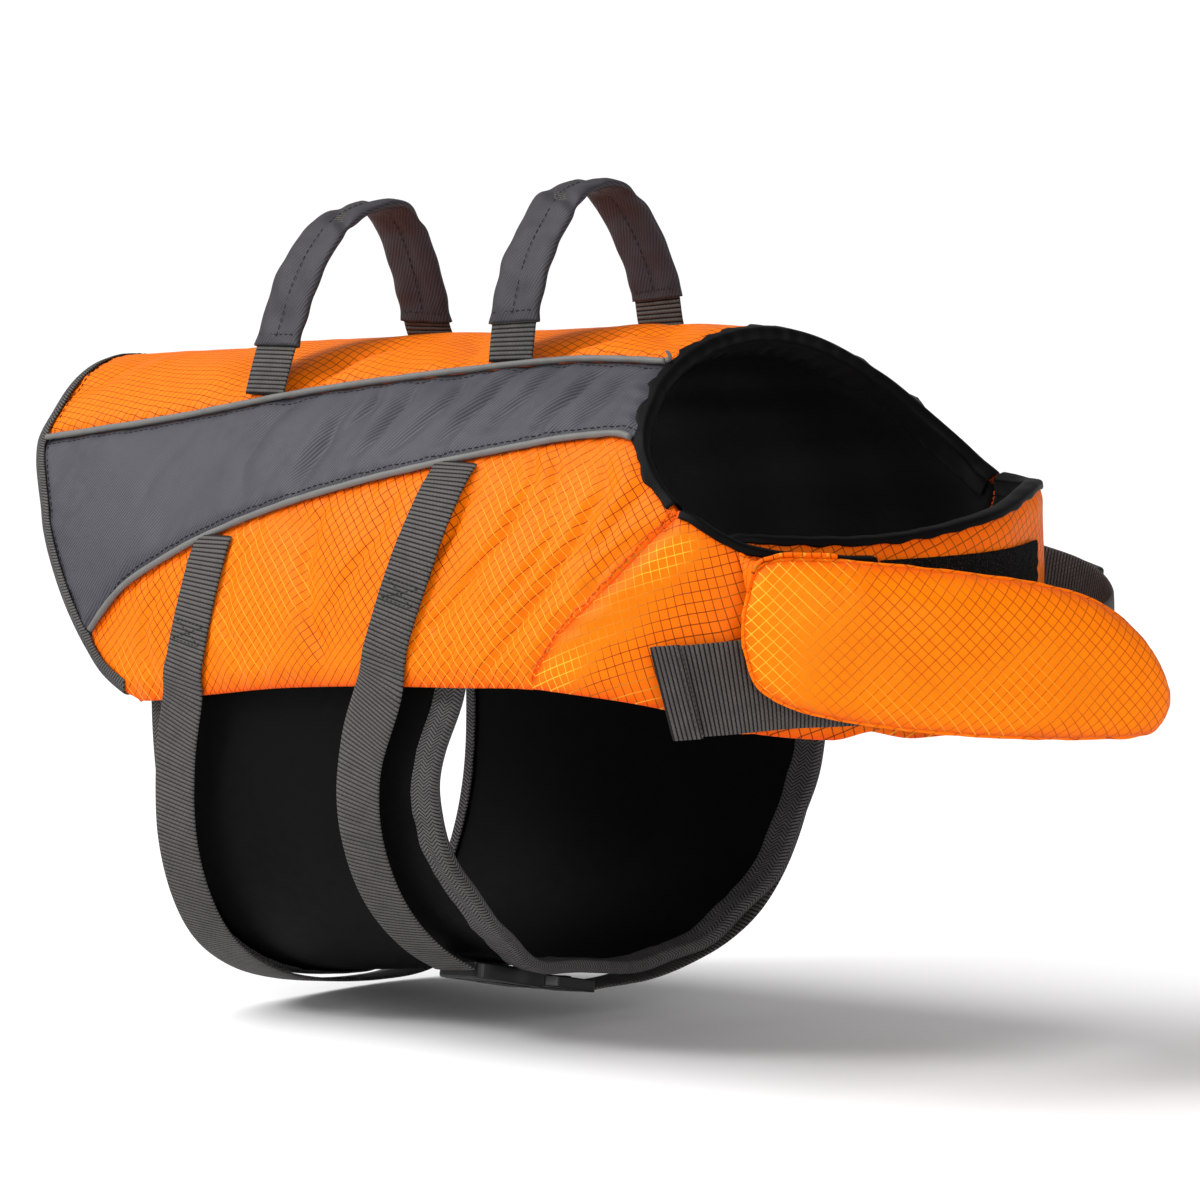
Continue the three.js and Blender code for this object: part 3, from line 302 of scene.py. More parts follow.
def thick(
    grid: Array, thickness: float | Array, cloth: Array | None = None,
    marks: dict[str, Array] | None = None, rounds: int = 2
) -> Body:
    """A sheet of even thickness on both sides of a grid, square to it."""
    normal = unit(np.cross(np.gradient(grid, axis=0), np.gradient(grid, axis=1)))
    half = normal * np.asarray(thickness)[..., None] / 2
    return closed_wall(grid + half, grid - half, cloth, marks, float(np.max(thickness)) * 0.45, rounds)


def round_quads(index: Array) -> Array:
    """Faces of rings of points that close on themselves."""
    ring = np.concatenate([index, index[:, :1]], 1)
    return np.stack([ring[:-1, :-1], ring[1:, :-1], ring[1:, 1:], ring[:-1, 1:]], -1).reshape(-1, 4)


def round_cloth(rings: Array) -> Array:
    """Cloth coordinates of ring faces' corners: length along, and length round the ring."""
    along = travel(rings.mean(1))
    turned = np.concatenate([rings[len(rings) // 2], rings[len(rings) // 2][:1]])
    grid = np.stack(np.meshgrid(along, travel(turned), indexing="ij"), -1)
    corners = np.stack([grid[:-1, :-1], grid[1:, :-1], grid[1:, 1:], grid[:-1, 1:]], 2)
    return corners.reshape(-1, 4, 2)


def rod(rings: Array) -> Body:
    """A closed rod through rings of points, with a fan of triangles at each end."""
    rows, around = rings.shape[:2]
    index = np.arange(rows * around).reshape(rows, around)
    centres = np.stack([rings[0].mean(0), rings[-1].mean(0)])
    first, last = index[0], index[-1]
    middle = np.full(around, rows * around)
    fans = [
        np.stack([middle, first, np.roll(first, -1)], -1),
        np.stack([middle + 1, np.roll(last, -1), last], -1)
    ]
    caps = [np.zeros((around, 3, 2)), np.zeros((around, 3, 2))]
    points = np.concatenate([rings.reshape(-1, 3), centres])
    return Body(points, [round_quads(index), *fans], [round_cloth(rings), *caps])


def sleeve_wall(outer: Array, inner: Array) -> Body:
    """A tube wall between two sets of rings, closed at both open ends."""
    rows, around = outer.shape[:2]
    index = np.arange(rows * around).reshape(rows, around)
    inside = index + rows * around
    cloth = round_cloth(outer)
    faces = [round_quads(index), round_quads(inside)[:, ::-1]]
    coords = [cloth, cloth[:, ::-1]]
    for row, turned in ((0, False), (-1, True)):
        a, b = index[row], inside[row]
        face = np.stack([a, np.roll(a, -1), np.roll(b, -1), b], -1)
        faces.append(face[:, ::-1] if turned else face)
        coords.append(np.zeros((around, 4, 2)))
    points = np.concatenate([outer.reshape(-1, 3), inner.reshape(-1, 3)])
    return Body(points, faces, coords)


def round_rod(line: Array, radius: float | Array, wanted: Array, sides: int = 10) -> Body:
    """A round rod of a radius along a path."""
    across, face = frames(line, wanted)
    turn = 2 * np.pi * np.arange(sides) / sides
    radius = np.broadcast_to(radius, len(line))[:, None, None]
    ring = across[:, None] * np.cos(turn)[:, None] + face[:, None] * np.sin(turn)[:, None]
    return rod(line[:, None] + ring * radius)


def ribbon(
    line: Array, across: Array, face: Array, width: float, thickness: float, cup: float = 0.0
) -> Body:
    """A strip of webbing along a path.

    Args:
        line: Points of its middle.
        across: Directions of its width.
        face: Directions of its face.
        width: Width of the webbing.
        thickness: Its thickness.
        cup: How far its edges bend towards the face.

    Returns:
        The closed strip, thinner at both selvages.
    """
    s = np.linspace(-1, 1, 13)
    grid = line[:, None] + across[:, None] * (s * width / 2)[:, None]
    grid = grid + face[:, None] * (cup * s**2)[:, None]
    body = thickness * (1 - 0.35 * np.abs(s) ** 6)
    return thick(grid, np.broadcast_to(body, grid.shape[:2]))


def stitch_line(
    line: Array, normal: Array, length: float = 2.5, space: float = 0.9, width: float = 0.6
) -> Body:
    """A row of stitches: small bent rods whose ends dip into the cloth.

    Args:
        line: Points of the seam.
        normal: The cloth's outward direction at each of them.
        length: Length of one stitch.
        space: Gap between two.
        width: Thickness of the thread.

    Returns:
        All the stitches of the row.
    """
    run = travel(line)
    starts = np.arange(0.3, run[-1] - length, length + space)
    if not len(starts):
        starts = np.array([0.0])

    begin, end = (read_along(line, run, starts + step) for step in (0, length))
    up = unit(read_along(normal, run, starts + length / 2))
    way = unit(end - begin)
    side = unit(np.cross(up, way))
    share = np.array([-1, -0.62, 0, 0.62, 1])
    radius = np.array([0.3, 0.85, 1, 0.85, 0.3]) * width / 2
    lift = np.array([-0.5, 0.25, 0.5, 0.25, -0.5]) * width / 2
    turn = 2 * np.pi * np.arange(5) / 5
    centre = (begin + end)[:, None] / 2 + way[:, None] * (share * length / 2)[:, None]
    centre = centre + up[:, None] * lift[:, None]
    ring = side[:, None] * np.cos(turn)[:, None] + up[:, None] * np.sin(turn)[:, None]
    points = centre[:, :, None] + ring[:, None] * radius[:, None, None]
    one = np.arange(25).reshape(5, 5)
    quads, caps = round_quads(one), np.stack([one[0], one[-1, ::-1]])
    shift = (25 * np.arange(len(starts)))[:, None, None]
    quads, caps = (quads + shift).reshape(-1, 4), (caps + shift).reshape(-1, 5)
    cloth = [np.zeros((len(quads), 4, 2)), np.zeros((len(caps), 5, 2))]
    return Body(points.reshape(-1, 3), [quads, caps], cloth)


# Finishes


class Twist(Enum):
    """How a webbing's threads lie."""

    RIBS = "ribs"
    HERRINGBONE = "herringbone"


class Nodes:
    """Adds nodes to a tree in few words."""

    def __init__(self, tree: Tree) -> None:
        """Keeps the tree that the nodes go into."""
        self.tree = tree

    def put(self, kind: str, **values: object) -> bpy.types.Node:
        """Adds a node.

        Args:
            kind: The node's type name.
            **values: Its settings, and its inputs by name with spaces as underscores.

        Returns:
            The node.
        """
        node = self.tree.nodes.new(kind)
        for name, value in values.items():
            if hasattr(node, name):
                setattr(node, name, value)
            else:
                self.feed(node.inputs[name.replace("_", " ")], value)
        return node

    def feed(self, socket: Socket, value: object) -> None:
        """Links a socket to another, or sets its value."""
        if isinstance(value, Socket):
            self.tree.links.new(value, socket)
        else:
            socket.default_value = value

    def maths(self, operation: str, *values: object, clamp: bool = False) -> Socket:
        """A Math node's result."""
        node = self.put("ShaderNodeMath", operation=operation, use_clamp=clamp)
        for socket, value in zip(node.inputs, values):
            self.feed(socket, value)
        return node.outputs[0]

    def blend(self, share: object, a: object, b: object) -> Socket:
        """A colour mixed of two."""
        node = self.put("ShaderNodeMix", data_type="RGBA")
        self.feed(node.inputs[0], share)
        for socket, value in ((node.inputs[6], a), (node.inputs[7], b)):
            self.feed(socket, value)
        return node.outputs[2]

    def ramp(self, value: object, low: object, high: object) -> Socket:
        """A smooth mask: 0 at low and 1 at high."""
        node = self.put("ShaderNodeMapRange", interpolation_type="SMOOTHSTEP")
        for name, v in (("Value", value), ("From Min", low), ("From Max", high)):
            self.feed(node.inputs[name], v)
        return node.outputs[0]

    def noise(self, vector: object, scale: float, detail: float = 2.0) -> Socket:
        """A noise texture's value."""
        node = self.put("ShaderNodeTexNoise", Scale=scale, Detail=detail)
        self.feed(node.inputs["Vector"], vector)
        return node.outputs["Fac"]


def new_group(name: str, inputs: dict[str, tuple[str, object]], outputs: dict[str, str]) -> tuple:
    """An empty shader group with named sockets.

    Args:
        name: The group's name.
        inputs: For each input its socket kind and default value.
        outputs: For each output its socket kind.

    Returns:
        The group, its helper, its inputs to read and its outputs to feed.
    """
    tree = bpy.data.node_groups.new(name, "ShaderNodeTree")
    for label, (kind, value) in inputs.items():
        socket = tree.interface.new_socket(label, in_out="INPUT", socket_type="NodeSocket" + kind)
        if value is not None:
            socket.default_value = value
    for label, kind in outputs.items():
        tree.interface.new_socket(label, in_out="OUTPUT", socket_type="NodeSocket" + kind)
    nodes = Nodes(tree)
    given, wanted = nodes.put("NodeGroupInput").outputs, nodes.put("NodeGroupOutput").inputs
    return tree, nodes, given, wanted


class SharedEffects:
    """The shader groups that several finishes use."""

    def __init__(self) -> None:
        """Builds each group once."""
        self.threads = self.build_threads()
        self.grid = self.build_grid()
        self.twill = self.build_twill()
        self.webbing = self.build_webbing()
        self.wear_and_shade = self.build_wear_and_shade()

    @staticmethod
    def turned(nodes: Nodes, vector: object, turn: object) -> Socket:
        """The cloth's coordinates in millimetres, turned in its plane."""
        size = nodes.put("ShaderNodeVectorMath", operation="SCALE", Scale=CLOTH_UNIT)
        nodes.feed(size.inputs[0], vector)
        spin = nodes.put("ShaderNodeVectorRotate", rotation_type="Z_AXIS")
        nodes.feed(spin.inputs["Vector"], size.outputs[0])
        nodes.feed(spin.inputs["Angle"], turn)
        return spin.outputs[0]

    def build_threads(self) -> Tree:
        """Plain weave: the product of two sine waves a pitch apart, and their height."""
        tree, nodes, given, wanted = new_group(
            "plain_weave",
            {"Vector": ("Vector", None), "Pitch": ("Float", 0.9), "Turn": ("Float", 0.0)},
            {"Height": "Float"}
        )
        turned = self.turned(nodes, given["Vector"], given["Turn"])
        parts = nodes.put("ShaderNodeSeparateXYZ", Vector=turned)
        rate = nodes.maths("DIVIDE", 6.2832, given["Pitch"])
        waves = [nodes.maths("SINE", nodes.maths("MULTIPLY", parts.outputs[k], rate)) for k in (0, 1)]
        product = nodes.maths("MULTIPLY", *waves)
        nodes.feed(wanted["Height"], nodes.maths("MULTIPLY_ADD", product, 0.5, 0.5))
        return tree

    def build_grid(self) -> Tree:
        """Ripstop: two families of raised lines a cell apart, each as a mask of its own."""
        tree, nodes, given, wanted = new_group(
            "ripstop_grid",
            {
                "Vector": ("Vector", None), "Cell": ("Float", 4.1), "Line": ("Float", 0.13),
                "Turn": ("Float", 0.785)
            },
            {"First": "Float", "Second": "Float", "Height": "Float"}
        )
        turned = self.turned(nodes, given["Vector"], given["Turn"])
        bent = nodes.put("ShaderNodeTexNoise", Scale=0.1, Detail=1.0, Vector=turned)
        shift = nodes.put("ShaderNodeVectorMath", operation="MULTIPLY_ADD")
        nodes.feed(shift.inputs[0], bent.outputs["Color"])
        shift.inputs[1].default_value = (0.5, 0.5, 0)
        nodes.feed(shift.inputs[2], turned)
        parts = nodes.put("ShaderNodeSeparateXYZ", Vector=shift.outputs[0])
        half = nodes.maths("MULTIPLY", given["Cell"], 0.5)
        soft = nodes.maths("MULTIPLY", given["Line"], 2.2)
        masks = []
        for k in (0, 1):
            near = nodes.maths("PINGPONG", parts.outputs[k], half)
            masks.append(nodes.maths("SUBTRACT", 1.0, nodes.ramp(near, given["Line"], soft)))
        nodes.feed(wanted["First"], masks[0])
        nodes.feed(wanted["Second"], masks[1])
        nodes.feed(wanted["Height"], nodes.maths("MAXIMUM", *masks))
        return tree

    def build_twill(self) -> Tree:
        """Twill: a sine wave on the slant, broken up by a finer one across it."""
        tree, nodes, given, wanted = new_group(
            "twill_lines",
            {"Vector": ("Vector", None), "Pitch": ("Float", 1.4), "Turn": ("Float", 1.0)},
            {"Height": "Float"}
        )
        turned = self.turned(nodes, given["Vector"], given["Turn"])
        parts = nodes.put("ShaderNodeSeparateXYZ", Vector=turned)
        rate = nodes.maths("DIVIDE", 6.2832, given["Pitch"])
        main = nodes.maths("SINE", nodes.maths("MULTIPLY", parts.outputs[0], rate))
        fine = nodes.maths("SINE", nodes.maths("MULTIPLY", parts.outputs[1], 5.2))
        fine = nodes.maths("MULTIPLY_ADD", fine, 0.12, 0.5)
        nodes.feed(wanted["Height"], nodes.maths("MULTIPLY_ADD", main, 0.38, fine))
        return tree

    def build_webbing(self) -> Tree:
        """Webbing: rounded ribs across the length, cut into knuckles that step by row."""
        tree, nodes, given, wanted = new_group(
            "webbing_ribs",
            {
                "Vector": ("Vector", None), "Rib": ("Float", 2.0), "Knuckle": ("Float", 2.3),
                "Slant": ("Float", 0.0)
            },
            {"Height": "Float", "Gap": "Float"}
        )
        turned = self.turned(nodes, given["Vector"], 0.0)
        parts = nodes.put("ShaderNodeSeparateXYZ", Vector=turned)
        folded = nodes.maths("PINGPONG", parts.outputs[1], 3.6)
        leaning = nodes.maths("MULTIPLY_ADD", folded, given["Slant"], parts.outputs[0])
        row = nodes.maths("DIVIDE", leaning, given["Rib"])
        number = nodes.maths("FLOOR", row)
        rib = nodes.maths("ABSOLUTE", nodes.maths("SINE", nodes.maths("MULTIPLY", row, math.pi)))
        step = nodes.maths("MULTIPLY", nodes.maths("MODULO", number, 2.0), 0.5)
        place = nodes.maths("DIVIDE", parts.outputs[1], given["Knuckle"])
        knuckle = nodes.maths("MULTIPLY", nodes.maths("ADD", place, step), math.pi)
        knuckle = nodes.maths("ABSOLUTE", nodes.maths("SINE", knuckle))
        rounded = nodes.maths("POWER", rib, 0.6)
        height = nodes.maths("MULTIPLY", rounded, nodes.maths("MULTIPLY_ADD", knuckle, 0.22, 0.78))
        nodes.feed(wanted["Height"], height)
        gap = nodes.ramp(height, 0.78, 0.4)
        nodes.feed(wanted["Gap"], gap)
        return tree

    def build_wear_and_shade(self) -> Tree:
        """Age and handling give a mottled tone; painted shade gives a darker colour where the cloth is
        drawn in at seams and edges.
        """
        tree, nodes, given, wanted = new_group(
            "cloth_wear",
            {
                "Color": ("Color", (0.5, 0.5, 0.5, 1)), "Deep": ("Color", (0.2, 0.2, 0.2, 1)),
                "Seam": ("Float", 0.0), "Mottle": ("Float", 0.12)
            },
            {"Color": "Color", "Rough": "Float"}
        )
        place = nodes.put("ShaderNodeTexCoord").outputs["Object"]
        broad, small = nodes.noise(place, 14.0, 3.0), nodes.noise(place, 160.0, 2.0)
        tone = nodes.maths("MULTIPLY_ADD", small, 0.4, nodes.maths("MULTIPLY", broad, 0.6))
        shade = nodes.maths("MULTIPLY", nodes.ramp(tone, 0.42, 0.66), given["Mottle"])
        colour = nodes.blend(shade, given["Color"], given["Deep"])
        # painted shade: the seam mark blends the colour towards the deep one near seams and edges
        drawn = nodes.maths("MULTIPLY", given["Seam"], 0.75, clamp=True)
        nodes.feed(wanted["Color"], nodes.blend(drawn, colour, given["Deep"]))
        nodes.feed(wanted["Rough"], nodes.maths("MULTIPLY_ADD", tone, 0.18, -0.08))
        return tree


class Finish:
    """A material under way: its nodes, its shader and the piece's own cloth map."""

    def __init__(self, name: str, effects: SharedEffects) -> None:
        """Starts a material with a plain shader."""
        self.material = bpy.data.materials.new(name)
        self.material.use_nodes = True
        tree = self.material.node_tree
        tree.nodes.clear()
        self.nodes, self.effects = Nodes(tree), effects
        self.shader = self.nodes.put("ShaderNodeBsdfPrincipled")
        end = self.nodes.put("ShaderNodeOutputMaterial")
        self.nodes.feed(end.inputs["Surface"], self.shader.outputs[0])
        self.cloth = self.nodes.put("ShaderNodeUVMap", uv_map="cloth").outputs[0]

    def group(self, tree: Tree, **values: object) -> bpy.types.Node:
        """Places a shared group with its own values."""
        node = self.nodes.put("ShaderNodeGroup", node_tree=tree)
        for name, value in values.items():
            self.nodes.feed(node.inputs[name], value)
        return node

    def mark(self, name: str) -> Socket:
        """A named value that the piece carries over its points."""
        return self.nodes.put("ShaderNodeAttribute", attribute_name=name).outputs["Fac"]

    def bump(self, height: object, distance: float, strength: float = 1.0, under: object = None) -> object:
        """A Bump node's normal, over another one if given."""
        node = self.nodes.put("ShaderNodeBump", Strength=strength, Distance=distance)
        self.nodes.feed(node.inputs["Height"], height)
        if under is not None:
            self.nodes.feed(node.inputs["Normal"], under)
        return node.outputs[0]

    def close(self, colour: object, rough: object, normal: object, **plain: object) -> Material:
        """Feeds the shader and sets its plain values."""
        for name, value in (("Base Color", colour), ("Roughness", rough), ("Normal", normal)):
            if value is not None:
                self.nodes.feed(self.shader.inputs[name], value)
        for name, value in plain.items():
            self.shader.inputs[name.replace("_", " ")].default_value = value
        return self.material


@dataclass(frozen=True)
class Ripstop:
    """Coated ripstop nylon: a bright cloth with a grid of raised threads, with a painted glint on the
    threads in places.
    """

    name: str
    turn: float
    colour: Colour = (0.86, 0.158, 0.0006, 1)
    # deep: colour of the mottle, of the weave's low threads and of the painted shade at seams
    deep: Colour = (0.60, 0.045, 0.0003, 1)
    dark_thread: Colour = (0.09, 0.012, 0.001, 1)
    # colour of the painted glint: a painted highlight on the grid's threads
    painted_glint_thread: Colour = (0.98, 0.44, 0.03, 1)
    # how strongly the second thread family is painted with a glint in noise patches
    glint_patchiness: float = 0.75

    def make(self, effects: SharedEffects) -> Material:
        """Builds the material."""
        finish = Finish(self.name, effects)
        nodes = finish.nodes
        grid = finish.group(effects.grid, Vector=finish.cloth, Turn=self.turn)
        weave = finish.group(effects.threads, Vector=finish.cloth, Pitch=0.85, Turn=self.turn)
        # mottled tone, and painted shade darkening the cloth near seams and edges
        aged_and_shaded = finish.group(
            effects.wear_and_shade, Color=self.colour, Deep=self.deep, Seam=finish.mark("seam"), Mottle=0.16
        )
        place = nodes.put("ShaderNodeTexCoord").outputs["Object"]
        # painted highlight: the glint mark and noise patches blend the threads towards the glint colour
        glint = finish.mark("glint")
        glint_patches = nodes.ramp(nodes.noise(place, 13.0, 1.5), 0.44, 0.6)
        first = nodes.maths("MULTIPLY_ADD", glint_patches, 0.05, glint, clamp=True)
        second = nodes.maths("MULTIPLY_ADD", glint_patches, self.glint_patchiness, glint, clamp=True)
        colour = aged_and_shaded.outputs["Color"]
        for mask, shine in (("First", first), ("Second", second)):
            thread = nodes.blend(shine, self.dark_thread, self.painted_glint_thread)
            strong = nodes.maths("MULTIPLY_ADD", shine, 0.05, 0.82)
            share = nodes.maths("MULTIPLY", grid.outputs[mask], strong)
            colour = nodes.blend(share, colour, thread)
        fine = nodes.maths("MULTIPLY_ADD", weave.outputs["Height"], 0.12, 0.9)
        colour = nodes.blend(nodes.maths("SUBTRACT", 1.0, fine), colour, self.deep)
        normal = finish.bump(weave.outputs["Height"], 0.00006, 0.6)
        normal = finish.bump(grid.outputs["Height"], 0.00016, 0.8, normal)
        rough = nodes.maths("ADD", aged_and_shaded.outputs["Rough"], 0.5)
        return finish.close(colour, rough, normal, Specular_IOR_Level=0.07)


@dataclass(frozen=True)
class Oxford:
    """Coated oxford cloth with a slanting twill line."""

    name: str = "grey_oxford"
    colour: Colour = (0.062, 0.061, 0.073, 1)
    deep: Colour = (0.019, 0.019, 0.025, 1)
    turn: float = 0.52

    def make(self, effects: SharedEffects) -> Material:
        """Builds the material."""
        finish = Finish(self.name, effects)
        nodes = finish.nodes
        twill = finish.group(effects.twill, Vector=finish.cloth, Pitch=1.5, Turn=self.turn)
        # mottled tone, and painted shade darkening the cloth near seams and edges
        aged_and_shaded = finish.group(
            effects.wear_and_shade, Color=self.colour, Deep=self.deep, Seam=finish.mark("seam"), Mottle=0.3
        )
        low = nodes.ramp(twill.outputs["Height"], 0.7, 0.3)
        colour = nodes.blend(nodes.maths("MULTIPLY", low, 0.72), aged_and_shaded.outputs["Color"], self.deep)
        normal = finish.bump(twill.outputs["Height"], 0.00016, 0.8)
        rough = nodes.maths("ADD", aged_and_shaded.outputs["Rough"], 0.55)
        return finish.close(colour, rough, normal, Specular_IOR_Level=0.2)


@dataclass(frozen=True)
class Webbing:
    """Woven tape: ribs cut into knuckles, or slanting threads that meet in a herringbone."""

    name: str
    twist: Twist
    rib: float = 2.0
    knuckle: float = 2.3
    colour: Colour = (0.082, 0.076, 0.071, 1)
    deep: Colour = (0.003, 0.003, 0.003, 1)

    def make(self, effects: SharedEffects) -> Material:
        """Builds the material."""
        finish = Finish(self.name, effects)
        nodes = finish.nodes
        slant = 0.0 if self.twist is Twist.RIBS else 0.75
        ribs = finish.group(
            effects.webbing, Vector=finish.cloth, Rib=self.rib, Knuckle=self.knuckle, Slant=slant
        )
        aged_and_shaded = finish.group(effects.wear_and_shade, Color=self.colour, Deep=self.deep, Seam=0.0, Mottle=0.25)
        gap = nodes.maths("MULTIPLY", ribs.outputs["Gap"], 0.95)
        colour = nodes.blend(gap, aged_and_shaded.outputs["Color"], self.deep)
        normal = finish.bump(ribs.outputs["Height"], 0.0008, 1.0)
        rough = nodes.maths("ADD", aged_and_shaded.outputs["Rough"], 0.62)
        return finish.close(colour, rough, normal, Specular_IOR_Level=0.15)


@dataclass(frozen=True)
class PlainCloth:
    """A plainly woven cloth, such as a lining, a piping cover or a neoprene's knitted face."""

    name: str
    colour: Colour
    deep: Colour
    rough: float = 0.6
    pitch: float = 0.9
    relief: float = 0.00006
    shine: float = 0.15
    mottle: float = 0.3

    def make(self, effects: SharedEffects) -> Material:
        """Builds the material."""
        finish = Finish(self.name, effects)
        nodes = finish.nodes
        weave = finish.group(effects.threads, Vector=finish.cloth, Pitch=self.pitch, Turn=0.2)
        # mottled tone, and painted shade darkening the cloth near seams and edges where a piece carries
        # the seam mark
        aged_and_shaded = finish.group(
            effects.wear_and_shade, Color=self.colour, Deep=self.deep, Seam=finish.mark("seam"), Mottle=self.mottle
        )
        low = nodes.maths("MULTIPLY_ADD", weave.outputs["Height"], -0.3, 0.3)
        colour = nodes.blend(low, aged_and_shaded.outputs["Color"], self.deep)
        normal = finish.bump(weave.outputs["Height"], self.relief, 0.7)
        rough = nodes.maths("ADD", aged_and_shaded.outputs["Rough"], self.rough)
        return finish.close(colour, rough, normal, Specular_IOR_Level=self.shine)


@dataclass(frozen=True)
class Pile:
    """Hook-and-loop cloth: a dense, uneven nap."""

    name: str = "hook_and_loop"
    colour: Colour = (0.003, 0.003, 0.003, 1)
    tip: Colour = (0.035, 0.034, 0.033, 1)

    def make(self, effects: SharedEffects) -> Material:
        """Builds the material."""
        finish = Finish(self.name, effects)
        nodes = finish.nodes
        place = nodes.put("ShaderNodeTexCoord").outputs["Object"]
        nap = nodes.noise(place, 1500.0, 4.0)
        tufts = nodes.noise(place, 320.0, 2.0)
        colour = nodes.blend(nodes.ramp(nap, 0.5, 0.75), self.colour, self.tip)
        normal = finish.bump(nap, 0.0008, 1.0, finish.bump(tufts, 0.0015, 0.8))
        rough = nodes.maths("MULTIPLY_ADD", nap, 0.2, 0.75)
        return finish.close(colour, rough, normal, Specular_IOR_Level=0.05)


@dataclass(frozen=True)
class Acetal:
    """Moulded black plastic, finely grained and a little scuffed on its faces."""

    name: str = "black_acetal"
    colour: Colour = (0.005, 0.005, 0.0055, 1)
    scuffed: Colour = (0.022, 0.022, 0.023, 1)

    def make(self, effects: SharedEffects) -> Material:
        """Builds the material."""
        finish = Finish(self.name, effects)
        nodes = finish.nodes
        place = nodes.put("ShaderNodeTexCoord").outputs["Object"]
        grain, marks = nodes.noise(place, 2200.0, 3.0), nodes.noise(place, 90.0, 5.0)
        scuff = nodes.ramp(marks, 0.6, 0.75)
        colour = nodes.blend(nodes.maths("MULTIPLY", scuff, 0.6), self.colour, self.scuffed)
        rough = nodes.maths("MULTIPLY_ADD", scuff, 0.2, 0.36)
        normal = finish.bump(grain, 0.00005, 0.5)
        return finish.close(colour, rough, normal, Specular_IOR_Level=0.3)


@dataclass(frozen=True)
class Thread:
    """Twisted sewing thread."""

    name: str
    colour: Colour

    def make(self, effects: SharedEffects) -> Material:
        """Builds the material."""
        finish = Finish(self.name, effects)
        nodes = finish.nodes
        place = nodes.put("ShaderNodeTexCoord").outputs["Object"]
        twist = nodes.noise(place, 1800.0, 1.0)
        dark = tuple(0.6 * v for v in self.colour[:3]) + (1,)
        colour = nodes.blend(nodes.ramp(twist, 0.4, 0.65), dark, self.colour)
        return finish.close(colour, 0.6, finish.bump(twist, 0.0001, 0.6), Specular_IOR_Level=0.2)


class Wardrobe:
    """Every finish of the jacket, made once."""

    def __init__(self) -> None:
        """Builds the shared effects and the materials."""
        effects = SharedEffects()
        black, soot = (0.0022, 0.0020, 0.0020, 1), (0.0006, 0.0006, 0.0006, 1)
        self.orange = Ripstop("orange_ripstop", math.radians(45)).make(effects)
        # a brighter, yellower copy of the orange ripstop for the float: painted light; its grid lines are
        # also fainter
        self.brightened_float_orange = Ripstop(
            "orange_ripstop_float", math.radians(45), colour=(0.95, 0.205, 0.0002, 1),
            dark_thread=(0.42, 0.06, 0.001, 1)
        ).make(effects)
        self.back_orange = Ripstop(
            "orange_ripstop_back", math.radians(12), (0.87, 0.178, 0.0005, 1), glint_patchiness=0.1
        ).make(effects)
        self.wing_orange = Ripstop("orange_ripstop_wing", math.radians(-22)).make(effects)
        self.oxford = Oxford().make(effects)
        self.sleeve = Oxford(
            "grey_oxford_sleeve", (0.040, 0.037, 0.044, 1), (0.014, 0.013, 0.016, 1), turn=1.1
        ).make(effects)
        self.webbing = Webbing("grey_webbing", Twist.RIBS).make(effects)
        self.wide_webbing = Webbing("wide_webbing", Twist.RIBS, 1.9, 2.0).make(effects)
        self.binding = Webbing(
            "grey_binding", Twist.HERRINGBONE, 1.7, 1.9, (0.09, 0.086, 0.084, 1)
        ).make(effects)
        self.piping = PlainCloth(
            "reflective_piping", (0.15, 0.148, 0.142, 1), (0.07, 0.069, 0.067, 1), 0.45, 0.8
        ).make(effects)
        self.lining = PlainCloth("black_lining", black, soot, 0.45, 0.9, 0.00008, 0.05).make(effects)
        self.neoprene = PlainCloth(
            "black_neoprene", (0.003, 0.003, 0.0032, 1), soot, 0.6, 1.1, 0.00004, 0.03
        ).make(effects)
        self.pile = Pile().make(effects)
        self.acetal = Acetal().make(effects)
        self.orange_thread = Thread("orange_thread", (0.75, 0.085, 0.002, 1)).make(effects)
        self.grey_thread = Thread("grey_thread", (0.022, 0.022, 0.026, 1)).make(effects)
        self.black_thread = Thread("black_thread", (0.006, 0.006, 0.007, 1)).make(effects)


# Putting pieces into the scene


def make_object(name: str, body: Body, material: Material) -> Piece:
    """A mesh object from a body, with its faces pointing outwards.

    Args:
        name: The object's name.
        body: Its points in millimetres.
        material: Its finish.

    Returns:
        The object, at the origin.
    """
    turned = body.volume() < 0
    faces = [f[:, ::-1] if turned else f for f in body.faces]
    cloth = [c[:, ::-1] if turned else c for c in body.cloth]
    mesh = bpy.data.meshes.new(name)
    mesh.from_pydata((body.points * MM).tolist(), [], [row for f in faces for row in f.tolist()])
    mesh.polygons.foreach_set("use_smooth", np.ones(len(mesh.polygons), bool))
    uv = mesh.uv_layers.new(name="cloth")
    flat = np.concatenate([c.reshape(-1, 2) for c in cloth]) / CLOTH_UNIT
    uv.data.foreach_set("uv", flat.ravel().astype(np.float32))
    for label, values in body.marks.items():
        mark = mesh.attributes.new(label, "FLOAT", "POINT")
        mark.data.foreach_set("value", values.astype(np.float32))
    mesh.update()
    mesh.materials.append(material)
    made = bpy.data.objects.new(name, mesh)
    bpy.context.scene.collection.objects.link(made)
    return made


def add(name: str, body: Body, material: Material, slot: str, *nodes: str) -> Piece:
    """Makes a piece and sets it in place."""
    return set_in_place(make_object(name, body, material), slot, *nodes)


def set_in_place(made: Piece, slot: str, *nodes: str) -> Piece:
    """Fixes a piece to the jacket's one body, and hides the solids that it stands for."""
    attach(made, "root")
    if nodes:
        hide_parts(*nodes)
    LOG.info("%s: %d faces", made.name, len(made.data.polygons))
    return made


# The saddle's cut


